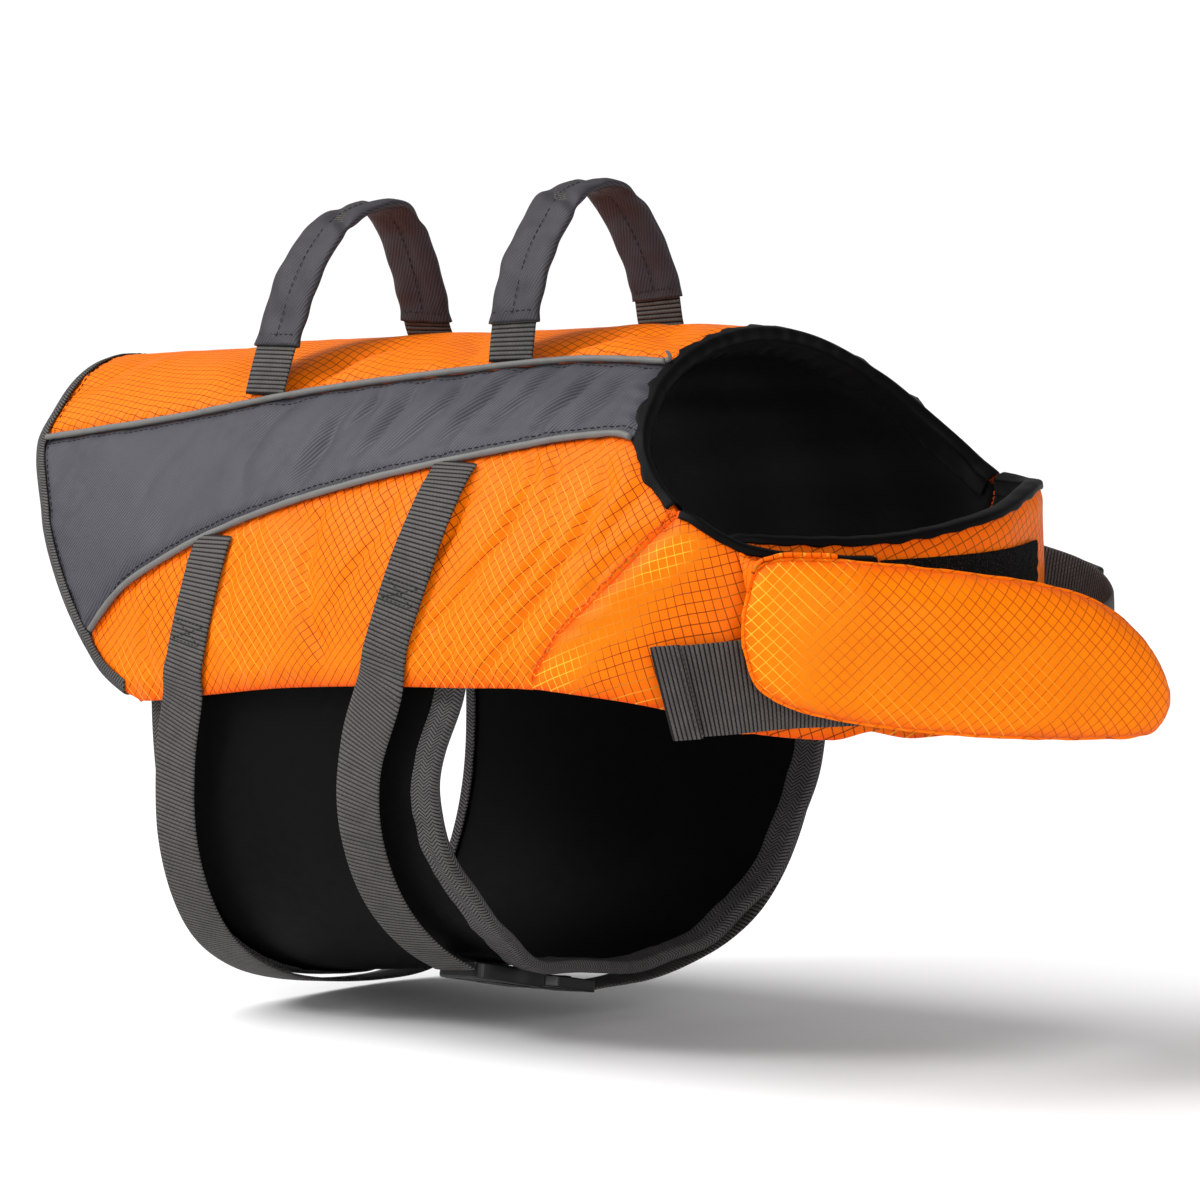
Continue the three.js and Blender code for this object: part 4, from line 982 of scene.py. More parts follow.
@dataclass(frozen=True)
class Saddle:
    """The surface that every panel of the saddle is cut from, and how deep its cloth lies."""

    nose: float = 190.0
    reach: float = 107.0
    girth_mm: float = 225.0
    degree: float = 1.95
    dart_top: float = 0.64
    saddle_pad: float = 9.0
    wing_pad: float = 3.8
    edge_pad: float = 1.8
    pinch: float = 1.8
    pinch_reach: float = 9.0
    sections: Table = Table(
        ("along", "half", "ridge", "hem"),
        (
            (-220, 94, -6.5, -138), (-130, 111, 1, -146.5), (-85, 119, 6, -149.5),
            (-34, 126, 10.5, -142.5), (23, 133, 14.5, -134.5), (128, 139, 22, -126.5),
            (195, 139.5, 24.5, -124.5), (218, 139.5, 24.5, -129.5), (232, 139.5, 24.5, -138),
            (270, 139.5, 24.5, -146), (330, 139.5, 24.5, -146)
        )
    )
    ends: Table = Table(
        ("girth", "tail", "front"),
        (
            (0, -212, 183), (0.25, -204, 186), (0.38, -199, 191.5), (0.47, -197, 195.5),
            (0.53, -191, 200), (0.6, -181, 208), (0.64, -175, 214), (0.7, -167, 210),
            (0.78, -153, 203.5), (0.86, -136, 195), (0.92, -120, 187), (0.96, -106, 181), (1, -80, 177)
        )
    )
    top_seam: Table = Table(
        ("share", "girth"),
        ((0, 0.47), (0.13, 0.43), (0.28, 0.39), (0.5, 0.33), (0.74, 0.275), (0.85, 0.255), (1, 0.265))
    )
    low_seam: Table = Table(
        ("share", "girth"),
        (
            (0, 0.91), (0.07, 0.8), (0.14, 0.745), (0.28, 0.68), (0.5, 0.605), (0.73, 0.54),
            (0.9, 0.495), (0.96, 0.49), (1, 0.515)
        )
    )
    # Broad creases that the solids have too, as valleys from one point to another.
    creases: Table = Table(
        ("along", "girth", "to_along", "to_girth", "depth", "width"),
        (
            (187, 0.53, 112, 0.9, 2.6, 12), (203, 0.62, 160, 0.92, 2.4, 11),
            (140, 0.57, 104, 0.84, 2.0, 11), (18, 0.66, 52, 0.94, 2.4, 12),
            (44, 0.37, 4, 0.58, 1.8, 11), (-34, 0.42, -86, 0.68, 1.8, 12)
        )
    )
    # Sharper folds, each on a bend through three points.
    folds: Table = Table(
        ("along", "girth", "mid_along", "mid_girth", "to_along", "to_girth", "depth", "width"),
        (
            (145, 0.535, 151, 0.66, 117, 0.89, 1.9, 4.2), (190, 0.55, 186, 0.74, 148, 0.985, 2.2, 4.0),
            (203, 0.57, 200, 0.67, 190, 0.76, 1.5, 3.4), (204, 0.71, 195, 0.84, 181, 0.93, 1.8, 3.2),
            (176, 0.62, 171, 0.76, 150, 0.87, 1.1, 3.6), (161, 0.53, 166, 0.6, 164, 0.7, 0.9, 3.6),
            (121, 0.56, 118, 0.67, 103, 0.79, 1.2, 5.0), (74, 0.6, 69, 0.73, 50, 0.86, 1.4, 6.0),
            (36, 0.64, 29, 0.77, 54, 0.985, 1.7, 6.0), (-8, 0.7, -20, 0.82, -8, 0.94, 1.2, 6.0),
            (-66, 0.78, -76, 0.88, -66, 0.98, 1.1, 5.0), (100, 0.82, 95, 0.91, 106, 1.0, 1.3, 4.6),
            (132, 0.9, 128, 0.95, 134, 1.0, 1.0, 4.0), (-112, 0.86, -116, 0.91, -104, 0.96, 0.8, 5.0),
            (100, 0.28, 96, 0.39, 87, 0.5, 1.4, 3.8), (45, 0.33, 43, 0.44, 37, 0.53, 1.5, 4.2),
            (12, 0.37, 10, 0.48, 6, 0.6, 1.2, 5.0), (150, 0.27, 147, 0.37, 140, 0.47, 1.3, 3.6),
            (71, 0.31, 73, 0.4, 59, 0.52, 1.1, 3.6), (122, 0.27, 121, 0.36, 112, 0.47, 1.0, 3.4),
            (172, 0.26, 168, 0.37, 163, 0.47, 1.0, 4.2), (-32, 0.39, -38, 0.48, -32, 0.6, 0.9, 6.0),
            (24, 0.35, 26, 0.4, 20, 0.46, 0.8, 3.2), (-86, 0.5, -98, 0.56, -102, 0.64, 0.7, 7.0),
            (-30, 0.36, -24, 0.22, 4, 0.1, 2.2, 9.0), (108, 0.25, 116, 0.16, 140, 0.07, 1.8, 9.0),
            (-78, 0.33, -86, 0.2, -110, 0.1, 1.2, 10.0), (60, 0.3, 52, 0.18, 30, 0.08, 1.3, 10.0),
            (170, 0.18, 150, 0.1, 140, 0.02, 1.0, 8.0), (-196, 0.3, -180, 0.22, -176, 0.08, 0.9, 8.0)
        )
    )

    def tail(self, girth: Value) -> Array:
        """Where the saddle starts."""
        return self.ends.read("tail", girth)

    def front(self, girth: Value) -> Array:
        """Where it ends at the neck rim, and at the dart below it."""
        return self.ends.read("front", girth)

    def top(self, share: Value) -> Array:
        """Girth of the upper piping, by its share from tail to neck."""
        return self.top_seam.read("girth", share)

    def low(self, share: Value) -> Array:
        """Girth of the lower piping, by its share from tail to neck."""
        return self.low_seam.read("girth", share)

    def length(self, along: Value) -> Array:
        """Along, with the degrees round the chest turned into millimetres."""
        return along + np.maximum(0, along - self.nose) * (self.degree - 1)

    def between(self, tail: Value, front: Value, share: Value) -> Array:
        """Along, at a share of the length from one end to the other."""
        length = mix(tail, self.length(front), share)
        return length - np.maximum(0, length - self.nose) * (1 - 1 / self.degree)

    def on_seam(self, seam: Callable, share: Value) -> tuple[Array, Array]:
        """Along and girth of points on one of the two pipings."""
        along = self.between(self.tail(seam(0)), self.front(seam(1)), share)
        return along, seam(share)

    def surface(self, along: Value, girth: Value, side: Value) -> Array:
        """Points of the surface without padding.

        A section is a quarter ellipse from the ridge to the hem. Past the start of the nose it
        is carried round half an ellipse in plan, and there it stands upright.

        Args:
            along: Measure from tail to neck.
            girth: Measure from ridge to hem.
            side: -1 on the right and 1 on the left.

        Returns:
            The points, in millimetres.
        """
        along, girth, side = np.broadcast_arrays(*(np.asarray(v, float) for v in (along, girth, side)))
        turn = np.radians(np.maximum(0, along - self.nose))
        half, ridge, hem = (self.sections.read(n, along) for n in ("half", "ridge", "hem"))
        angle = girth * np.pi / 2
        upright = ease((np.minimum(along, 560 - along) - 206) / 35)
        spread = mix(np.sin(angle), 1, upright)
        x = np.where(along < self.nose, along, self.nose + self.reach * np.sin(turn))
        z = ridge - (ridge - hem) * (1 - np.cos(angle))
        return np.stack([x, side * half * np.cos(turn) * spread, z], -1)

    def outward(self, along: Value, girth: Value, side: Value) -> Array:
        """Directions square to the surface: the cross product of its two slopes."""
        down = self.surface(along, np.add(girth, 0.004), side) - self.surface(
            along, np.subtract(girth, 0.004), side
        )
        forward = self.surface(np.add(along, 1), girth, side) - self.surface(
            np.subtract(along, 1), girth, side
        )
        return unit(np.cross(forward, down)) * np.asarray(side, float)[..., None]

    def at(self, along: Array, girth: Array, side: Value, depth: Value) -> Array:
        """Points at a depth below the surface."""
        side = np.broadcast_to(side, np.shape(along))
        depth = np.broadcast_to(depth, np.shape(along))[..., None]
        return self.surface(along, girth, side) - self.outward(along, girth, side) * depth

    def from_tail(self, along: Array, girth: Array) -> Array:
        """Distance from the tail edge, square to it."""
        slope = (self.tail(girth + 0.01) - self.tail(girth - 0.01)) / (0.02 * self.girth_mm)
        return (along - self.tail(girth)) / np.hypot(1, slope)

    def from_front(self, along: Array, girth: Array) -> Array:
        """Distance from the neck rim or the dart, square to it."""
        rise = self.length(self.front(girth + 0.01)) - self.length(self.front(girth - 0.01))
        run = self.length(self.front(girth)) - self.length(along)
        return run / np.hypot(1, rise / (0.02 * self.girth_mm))

    def from_seam(self, seam: Callable, along: Array, girth: Array) -> Array:
        """Distance from one of the two pipings, square to it; far where there is none."""
        start, end = self.tail(seam(0)), self.length(self.front(seam(1)))
        share = np.clip((self.length(along) - start) / (end - start), 0, 1)
        step = 8.0 / (end - start)
        rise = (seam(np.clip(share + step, 0, 1)) - seam(np.clip(share - step, 0, 1))) * self.girth_mm
        drop = np.abs(girth - seam(share)) * self.girth_mm / np.hypot(1, rise / 16)
        return np.where(along > start - 3, drop, 99.0)

    def away(self, along: Array, girth: Array) -> dict[str, Array]:
        """Distance from each kind of edge or seam."""
        return {
            "tail": self.from_tail(along, girth), "hem": (1 - girth) * self.girth_mm,
            "top": self.from_seam(self.top, along, girth),
            "low": self.from_seam(self.low, along, girth),
            "front": np.abs(self.from_front(along, girth))
        }

    def crease_depth(self, along: Array, girth: Array) -> Array:
        """Depth of the broad creases: a bell curve across each line that fades at its ends."""
        total = np.zeros(np.shape(along))
        for a, g, to_a, to_g, depth, width in self.creases.rows:
            run = np.array([to_a - a, (to_g - g) * self.girth_mm])
            x, y = along - a, (girth - g) * self.girth_mm
            share = (x * run[0] + y * run[1]) / (run @ run)
            off = np.abs(x * run[1] - y * run[0]) / np.linalg.norm(run)
            fade = ease(share / 0.25 + 0.6) * ease((1.15 - share) / 0.3)
            total = total + depth * fade * np.exp(-((off / width) ** 2))
        return total

    def fold_depth(self, along: Array, girth: Array, side: float) -> Array:
        """Depth of the sharper folds: a trough with a soft ridge on each side of its line.

        The line is a parabola through the row's three points, measured at 80 places. The far
        side has the same folds a little further back and shallower.

        Args:
            along: Measure from tail to neck.
            girth: Measure from ridge to hem.
            side: -1 on the right and 1 on the left.

        Returns:
            The depth, which is negative on the ridges.
        """
        total = np.zeros(np.shape(along))
        back, share = (11.0, 0.85) if side > 0 else (0.0, 1.0)
        t = np.linspace(0, 1, 80)
        for row in self.folds.rows:
            a, g, mid_a, mid_g, to_a, to_g, depth, width = row
            line = [
                v0 * (1 - t) * (1 - 2 * t) + v1 * 4 * t * (1 - t) + v2 * t * (2 * t - 1) for v0, v1,
                v2 in ((a, mid_a, to_a), (g, mid_g, to_g))
            ]
            xs, ys = line[0] - back, line[1] * self.girth_mm
            size = 3 * width + 8
            near = (along > xs.min() - size) & (along < xs.max() + size)
            if not near.any():
                continue
            x, y = along[near][:, None], girth[near][:, None] * self.girth_mm
            x = x + ripple(y, 34, 3) * 1.2
            off = np.hypot(x - xs, y - ys)
            k = off.argmin(1)
            off = np.take_along_axis(off, k[:, None], 1)[:, 0]
            fade = np.sin(np.pi * np.clip((t[k] + 0.12) / 1.24, 0, 1)) ** 0.7
            broad = g < 0.5 and to_g < 0.63
            width, depth = (width, 2 * depth) if broad else (0.62 * width, depth)
            trough = np.exp(-((off / width) ** 1.3)) - 0.3 * np.exp(-(((off - 2 * width) / width) ** 2))
            total[near] += 1.25 * depth * share * fade * trough
        return total

    def skin_depth(self, along: Array, girth: Array) -> Array:
        """Depth of the outer cloth as the solids have it: drawn in at seams, creased between."""
        nearest = np.min(list(self.away(along, girth).values()), axis=0)
        seam = 1 - ease(nearest / self.pinch_reach)
        return self.pinch * seam + self.crease_depth(along, girth) * (1 - seam)

    def dressed_depth(self, along: Array, girth: Array, side: float, seed: int) -> Array:
        """Depth of the outer cloth with its folds, its puckers at the seams and its rumples."""
        away = self.away(along, girth)
        seam = 1 - ease(np.min(list(away.values()), axis=0) / self.pinch_reach)
        loose = (1 - seam) ** 0.7
        depth = self.skin_depth(along, girth) + self.fold_depth(along, girth, side) * loose
        run, round_it = self.length(along), girth * self.girth_mm
        for k, (name, way) in enumerate(
            (("top", run), ("low", run), ("hem", run), ("front", round_it), ("tail", round_it))
        ):
            gather = ripple(way, 13, seed + k) * np.exp(-((away[name] - 5) / 7) ** 2)
            depth = depth + gather * (0.5 if name != "tail" else 0.25)
        if side > 0:
            swell = np.exp(-(((away["front"] - 6) / 5) ** 2)) * ease((girth - 0.25) / 0.06)
            depth = depth - 2.4 * swell * (1 + 0.5 * ripple(round_it, 26, 7))
        depth = depth + rumple(run, round_it, 46, seed + 9) * 0.35 * loose
        return depth + rumple(run, round_it, 15, seed + 11) * 0.05 * loose

    def pad_depth(self, along: Array, girth: Array) -> Array:
        """Depth of the padding's inner face, which is thin at every free edge."""
        to_rim = self.from_front(along, girth) + 20 * ease((girth - 0.57) / (self.dart_top - 0.57))
        edges = [self.from_tail(along, girth), (1 - girth) * self.girth_mm, to_rim]
        full = mix(self.saddle_pad, self.wing_pad + self.pinch, ease((along - 165) / 45))
        return mix(self.pinch + self.edge_pad, full, ease(np.min(edges, axis=0) / 16))

    def seam_shade_mark(self, along: Array, girth: Array) -> Array:
        """How close a seam or edge is, from 0 to 1, for the painted shade of the drawn-in cloth."""
        nearest = np.min(list(self.away(along, girth).values()), axis=0)
        return np.exp(-nearest / 3.0)

    def glint_mark(self, along: Array, girth: Array) -> Array:
        """Where the grid's threads get the strongest painted glint, a painted highlight: a patch just in
        front of the dart.
        """
        run = -self.from_front(along, girth)
        patch = 0.85 + 0.5 * rumple(run, girth * self.girth_mm, 30, 88)
        return patch * np.exp(-(((run - 9) / 11) ** 2)) * ease((girth - 0.66) / 0.06)


@dataclass
class SaddlePanels:
    """The padded panels: the back, and on each side a grey band and a side panel."""

    saddle: Saddle
    wardrobe: Wardrobe
    seam_in: float = 0.2
    pitch: float = 1.4

    def panel(self, along: Array, girth: Array, side: Value, seed: int) -> Body:
        """A padded panel between its outer cloth and the padding's inner face."""
        s = self.saddle
        side = np.broadcast_to(side, np.shape(along))
        hand = np.where(side < 0, 0.0, 1.0)
        depth = s.dressed_depth(along, girth, -1.0, seed) * (1 - hand)
        depth = depth + s.dressed_depth(along, girth, 1.0, seed) * hand
        outer = s.at(along, girth, side, depth)
        inner = s.at(along, girth, side, s.pad_depth(along, girth))
        cloth = np.stack([s.length(along), girth * s.girth_mm * side], -1)
        # marks: painted shade near seams and edges, and a painted glint on the grid in front of the dart
        marks = {"seam": s.seam_shade_mark(along, girth), "glint": s.glint_mark(along, girth)}
        return closed_wall(outer, inner, cloth, marks, bulge=0.9, rounds=3)

    def grid(self, length: float, width: float) -> tuple[Array, Array]:
        """Shares along and across for a panel of a size, evenly spaced about a pitch apart."""
        u, v = (np.linspace(0, 1, int(size / self.pitch)) for size in (length, width))
        return np.meshgrid(u, v, indexing="ij")

    def back(self) -> Body:
        """The orange back panel, between the two upper pipings."""
        s = self.saddle
        u, v = self.grid(310, 130)
        v = 2 * v - 1
        girth = np.abs(v) * (s.top(u) - self.seam_in / s.girth_mm)
        along = s.between(s.tail(np.abs(v) * s.top(0)), s.front(np.abs(v) * s.top(1)), u)
        return self.panel(along, girth, np.where(v < 0, RIGHT, LEFT), 20)

    def band(self, side: float) -> Body:
        """The grey band between two pipings."""
        s = self.saddle
        u, v = self.grid(385, 80)
        inset = self.seam_in / s.girth_mm
        girth = mix(s.top(u) + inset, s.low(u) - inset, v)
        tail = s.tail(mix(s.top(0), s.low(0), v))
        front = s.front(mix(s.top(1), s.low(1), v))
        return self.panel(s.between(tail, front, u), girth, side, 31 if side < 0 else 37)

    def side(self, side: float) -> Body:
        """The orange side panel, from the lower piping to the hem and the dart."""
        s = self.saddle
        u, v = self.grid(330, 112)
        girth = mix(s.low(u) + self.seam_in / s.girth_mm, 1, v)
        front = s.front(mix(s.low(1), 1, v)) - self.seam_in
        along = s.between(s.tail(mix(s.low(0), 1, v)), front, u)
        return self.panel(along, girth, side, 43 if side < 0 else 49)

    def build(self) -> None:
        """Makes the five panels."""
        finishes = {"side_band": self.wardrobe.oxford, "side_panel": self.wardrobe.orange}
        slots = {"side_band": "grey_oxford", "side_panel": "orange_ripstop"}
        orange = "orange_ripstop"
        made = add("back_panel_cover", self.back(), self.wardrobe.back_orange, orange, "back_panel")
        for hand, side in (("right", RIGHT), ("left", LEFT)):
            for kind, body in (("side_band", self.band(side)), ("side_panel", self.side(side))):
                node = f"{kind}_{hand}"
                made = add(f"{kind}_cover_{hand}", body, finishes[kind], slots[kind], node)


@dataclass
class EdgeTape:
    """A tape folded over an edge of the saddle, with a leg on each side of it."""

    saddle: Saddle
    thickness: float = 1.0
    lining: float = 1.2
    lining_gap: float = 1.2

    def lining_depth(self, along: Array, girth: Array) -> Array:
        """Depth of the lining's inner face."""
        return self.saddle.pad_depth(along, girth) + self.lining_gap + self.lining

    def fold(
        self, outer_leg: Array, outer_edge: Array, inner_edge: Array, inner_leg: Array, over: Array,
        stand: float | Array
    ) -> Array:
        """The tape's middle surface: a leg, half an ellipse round the edge, and a leg.

        Args:
            outer_leg: Where the outer leg ends, a row for each place.
            outer_edge: Where the outer leg meets the fold.
            inner_edge: Where the fold meets the inner leg.
            inner_leg: Where the inner leg ends.
            over: Direction past the edge.
            stand: How far the fold stands past it.

        Returns:
            A grid of points with a row for each place.
        """
        t = np.linspace(0, 1, 5)[:-1][None, :, None]
        turn = np.linspace(0, np.pi, 8)[None, :, None]
        centre, half = (outer_edge + inner_edge) / 2, (outer_edge - inner_edge) / 2
        reach = np.broadcast_to(stand, len(over))[:, None, None]
        bend = centre[:, None] + half[:, None] * np.cos(turn) + over[:, None] * reach * np.sin(turn)
        first = outer_leg[:, None] + (outer_edge - outer_leg)[:, None] * t
        last = inner_edge[:, None] + (inner_leg - inner_edge)[:, None] * (1 - t[:, ::-1])
        return np.concatenate([first, bend, last], 1)

    def on_saddle(
        self, girth: Array, side: Array, at_tail: bool, legs: tuple[Value, float], wave: Array
    ) -> Array:
        """The fold along the tail edge or the neck rim.

        Args:
            girth: Places on the edge.
            side: Their side.
            at_tail: True for the tail edge.
            legs: Length of the outer and the inner leg.
            wave: How far the tape is puffed up at each place.

        Returns:
            The grid of its middle surface.
        """
        s = self.saddle
        reader = s.tail if at_tail else s.front
        low, high = np.maximum(girth - 0.01, 0), girth + 0.01
        slope = (reader(high) - reader(low)) / ((high - low) * s.girth_mm)
        if not at_tail:
            slope = slope * np.where(reader(girth) > s.nose, s.degree, 1)
        size = np.hypot(1, slope)
        way = 1.0 if at_tail else -1.0
        per_unit = np.where(reader(girth) > s.nose, s.degree, 1) if not at_tail else 1.0

        def place(reach: Value) -> tuple[Array, Array]:
            along = reader(girth) + way * reach / size / per_unit
            return along, np.abs(girth - way * slope / size * reach / s.girth_mm)

        def lift(reach: Value, inside: bool, more: Value) -> Array:
            along, round_it = place(reach)
            if inside:
                depth = self.lining_depth(along, round_it) + 0.35 + self.thickness / 2
            else:
                depth = s.skin_depth(along, round_it) - GAP - 0.2 - self.thickness / 2
            return s.at(along, round_it, side, depth + (more if inside else -more))

        inner_edge = lift(0, True, 0)
        outer_edge = lift(0, False, 0)
        over = unit(outer_edge - lift(1.0, False, 0))
        return self.fold(
            lift(legs[0], False, 0.05 * wave), outer_edge + over * 0.3, inner_edge + over * 0.3,
            lift(legs[1], True, wave), over, 0.7 + self.thickness / 2 + 0.35 * wave
        )


@dataclass
class SaddleTrim:
    """Piping, the tail's binding tape, the neck facing and the saddle's lining."""

    saddle: Saddle
    wardrobe: Wardrobe
    radius: float = 1.5

    def piping(self, seam: Callable, side: float, end: float) -> Body:
        """A covered cord in a band seam's groove, a little uneven along its length."""
        s = self.saddle
        share = np.linspace(0.016, end, 260)
        along, girth = s.on_seam(seam, share)
        girth = girth + (0.9 / s.girth_mm if seam == s.top else 0.0)
        depth = s.pinch - GAP - self.radius - 0.25 + 0.12 * ripple(share * 390, 30, 5)
        line = s.at(along, girth, side, depth)
        radius = self.radius * (1 + 0.05 * ripple(share * 390, 17, 6))
        return round_rod(line, radius, s.outward(along, girth, np.full(len(along), side)))

    def tail_tape(self) -> tuple[Body, float]:
        """The tape round the tail edge and its length."""
        v = np.linspace(-1, 1, 241)
        girth = 0.985 * (1 - (1 - np.abs(v)) ** 1.6)
        side = np.where(v < 0, RIGHT, LEFT)
        grid = EdgeTape(self.saddle).on_saddle(girth, side, True, (5, 8), 0.0 * v)
        return thick(grid, 1.0), float(travel(grid[:, 7])[-1])

    def neck_facing(self) -> tuple[Body, float]:
        """The lining cloth turned out over the neck rim, gathered at the nape."""
        v = np.linspace(-0.628, 0.628, 321)
        girth, side = np.abs(v), np.where(v < 0, RIGHT, LEFT)
        run = v * self.saddle.girth_mm
        wave = (0.5 + 0.5 * ripple(run, 12, 8)) * (0.5 + 1.5 * np.exp(-((v / 0.3) ** 2)))
        leg = 3.4 + 1.1 * ripple(run, 19, 12) + 0.5 * ripple(run, 7, 13)
        grid = EdgeTape(self.saddle, 0.9).on_saddle(girth, side, False, (leg, 11), wave)
        return thick(grid, 0.9), float(travel(grid[:, 7])[-1])

    def lining(self) -> Body:
        """The lining inside the saddle: the padding's inner face, with soft broad folds."""
        s, tape = self.saddle, EdgeTape(self.saddle)
        u, v = np.meshgrid(np.linspace(0, 1, 80), np.linspace(-1, 1, 111), indexing="ij")
        girth, side = np.abs(v), np.where(v < 0, RIGHT, LEFT)
        along = s.between(s.tail(girth), s.front(girth) - 0.2, u)
        inside = np.clip(np.min([s.from_tail(along, girth), (1 - girth) * 225], axis=0) / 20, 0, 1)
        run, round_it = s.length(along), girth * side * s.girth_mm
        folds = (1 + rumple(run * 0.5, round_it, 44, 61)) * 0.9 * ease(inside)
        folds = folds * ease(s.from_front(along, girth) / 18)
        middle = s.pad_depth(along, girth) + tape.lining_gap + tape.lining / 2 + folds
        grid = s.at(along, girth, side, middle)
        cloth = np.stack([run, round_it], -1)
        return thick(grid, tape.lining, cloth)

    def build(self) -> None:
        """Makes the trim and the lining."""
        w = self.wardrobe
        for hand, side in (("right", RIGHT), ("left", LEFT)):
            for kind, seam, end in (("top", self.saddle.top, 0.986), ("low", self.saddle.low, 0.972)):
                name, node = f"piping_cord_{kind}_{hand}", f"piping_{kind}_{hand}"
                add(name, self.piping(seam, side, end), w.piping, "reflective_piping", node)
        body, length = self.tail_tape()
        made = add("tail_binding", body, w.binding, "grey_binding", "tail_tape")
        body, length = self.neck_facing()
        made = add("neck_facing_cloth", body, w.lining, "black_lining", "neck_facing")
        made = add("saddle_lining_cloth", self.lining(), w.lining, "black_lining", "saddle_lining")


@dataclass
class ChestWings:
    """The two wings that close under the neck, each with its lining and turned facing."""

    saddle: Saddle
    wardrobe: Wardrobe
    lining: float = 1.2
    tops: dict[float, Table] = field(
        default_factory=lambda: {
            RIGHT: Table(
                ("along", "girth"),
                ((205, 0.635), (217, 0.645), (226, 0.668), (236, 0.69), (264, 0.705))
            ),
            LEFT: Table(
                ("along", "girth"),
                (
                    (205, 0.625), (222, 0.625), (245, 0.607), (265, 0.635), (290, 0.665), (315, 0.662),
                    (336, 0.648)
                )
            )
        }
    )
    ends: dict[float, float] = field(default_factory=lambda: {RIGHT: 262.0, LEFT: 334.0})

    def top(self, side: float, along: Value) -> Array:
        """Girth of a wing's upper edge."""
        return self.tops[side].read("girth", along)

    def place(self, side: float, u: Array, dart_girth: Array) -> tuple[Array, Array, Array]:
        """Along and girth of a wing's points, and its upper edge there.

        Args:
            side: Which wing.
            u: Share from the dart forward.
            dart_girth: Girth at which the row leaves the dart.

        Returns:
            Along, girth and the upper edge's girth.
        """
        s = self.saddle
        start = s.front(dart_girth) + 0.2
        along = mix(start, self.ends[side], u)
        top = self.top(side, np.maximum(along, 214))
        share = (dart_girth - s.dart_top) / (1 - s.dart_top)
        hem = mix(
            1, 0.98, ease((along - 285) / 15)
        ) if side > 0 else mix(1, 0.985, ease((along - 252) / 9))
        girth = mix(dart_girth, mix(top, hem, share), ease((along - start) / 5))
        return along, girth, top

    def depths(self, side: float, along: Array, girth: Array, top: Array) -> tuple[Array, Array, Array]:
        """Depth of the skin and of the padding's inner face, and the distance from an edge."""
        s = self.saddle
        to_dart = np.where(girth > s.dart_top, np.abs(s.from_front(along, girth)), 99)
        edges = [
            (girth - top) * s.girth_mm, (1 - girth) * s.girth_mm, to_dart,
            np.abs(self.ends[side] - along) * 1.9
        ]
        nearest = np.min(edges, axis=0)
        tuck = 10.6 * ease((along - 262) / 34) if side > 0 else 0.0
        skin = s.pinch * (1 - ease(nearest / s.pinch_reach)) + tuck
        return skin, s.wing_pad + s.pinch + tuck, nearest

    def panel(self, side: float) -> Body:
        """The padded wing, with a few slanting folds from the dart."""
        s = self.saddle
        rows = 90 if side < 0 else 160
        u, g = np.meshgrid(np.linspace(0, 1, rows), np.linspace(s.dart_top, 1, 60), indexing="ij")
        along, girth, top = self.place(side, u, g)
        skin, pad, nearest = self.depths(side, along, girth, top)
        loose = ease(nearest / 10)
        run, round_it = s.length(along), girth * s.girth_mm
        skin = skin + rumple(run, round_it, 38, 71 if side < 0 else 75) * 0.5 * loose
        gather = ripple(round_it, 12, 73) * np.exp(-(((np.abs(s.from_front(along, girth)) - 5) / 6) ** 2))
        edge = ripple(run, 11, 74) * np.exp(-((((girth - top) * s.girth_mm - 5) / 5) ** 2))
        skin = skin + 0.4 * gather + 0.35 * edge
        outer, inner = s.at(along, girth, side, skin), s.at(along, girth, side, pad)
        # marks: painted shade near the wing's edges, and a painted glint on its threads
        marks = {
            "seam": np.exp(-nearest / 3),
            "glint": s.glint_mark(along, girth) if side < 0 else 0.1 * loose
        }
        cloth = np.stack([run, round_it * side], -1)
        return closed_wall(outer, inner, cloth, marks, bulge=0.8, rounds=3)

    def lining_cloth(self, side: float) -> Body:
        """The wing's lining, just inside its padding."""
        s = self.saddle
        rows = 50 if side < 0 else 90
        u, g = np.meshgrid(np.linspace(0, 1, rows), np.linspace(s.dart_top, 1, 30), indexing="ij")
        along, girth, top = self.place(side, u, g)
        _, pad, nearest = self.depths(side, along, girth, top)
        folds = 0.7 * (1 + rumple(s.length(along), girth * s.girth_mm, 30, 79)) * ease(nearest / 14)
        grid = s.at(along, girth, side, pad + 2 * GAP + self.lining / 2 + folds)
        return thick(grid, self.lining, np.stack([s.length(along), girth * s.girth_mm], -1))

    def facing(self, side: float) -> tuple[Body, float]:
        """The lining cloth turned over a wing's upper edge."""
        s, tape = self.saddle, EdgeTape(self.saddle, 0.9)
        along = np.linspace(215.6, self.ends[side] - 1, 140)
        top = self.top(side, along)
        outer_leg, inner_leg = (2.2, 7.0) if side < 0 else (1.6, 7.0)
        outer_leg = outer_leg + 0.7 * ripple(s.length(along), 13, 83)

        def lift(reach: Value, inside: bool, more: Value = 0.0) -> Array:
            girth = top + reach / s.girth_mm
            skin, pad, _ = self.depths(side, along, girth, top)
            if inside:
                depth = pad + 2 * GAP + self.lining + 0.35 + 0.45 + more
            else:
                depth = skin - GAP - 0.2 - 0.45 - more
            return s.at(along, girth, side, depth)

        over = unit(lift(0, False) - lift(1, False))
        wave = 0.6 * (1 + ripple(s.length(along), 14, 81))
        grid = tape.fold(
            lift(outer_leg, False, 0.1 * wave), lift(0, False) + over * 0.3, lift(0, True) + over * 0.3,
            lift(inner_leg, True, wave), over, 0.6 + 0.45 + 0.25 * wave
        )
        return thick(grid, 0.9), float(travel(grid[:, 7])[-1])

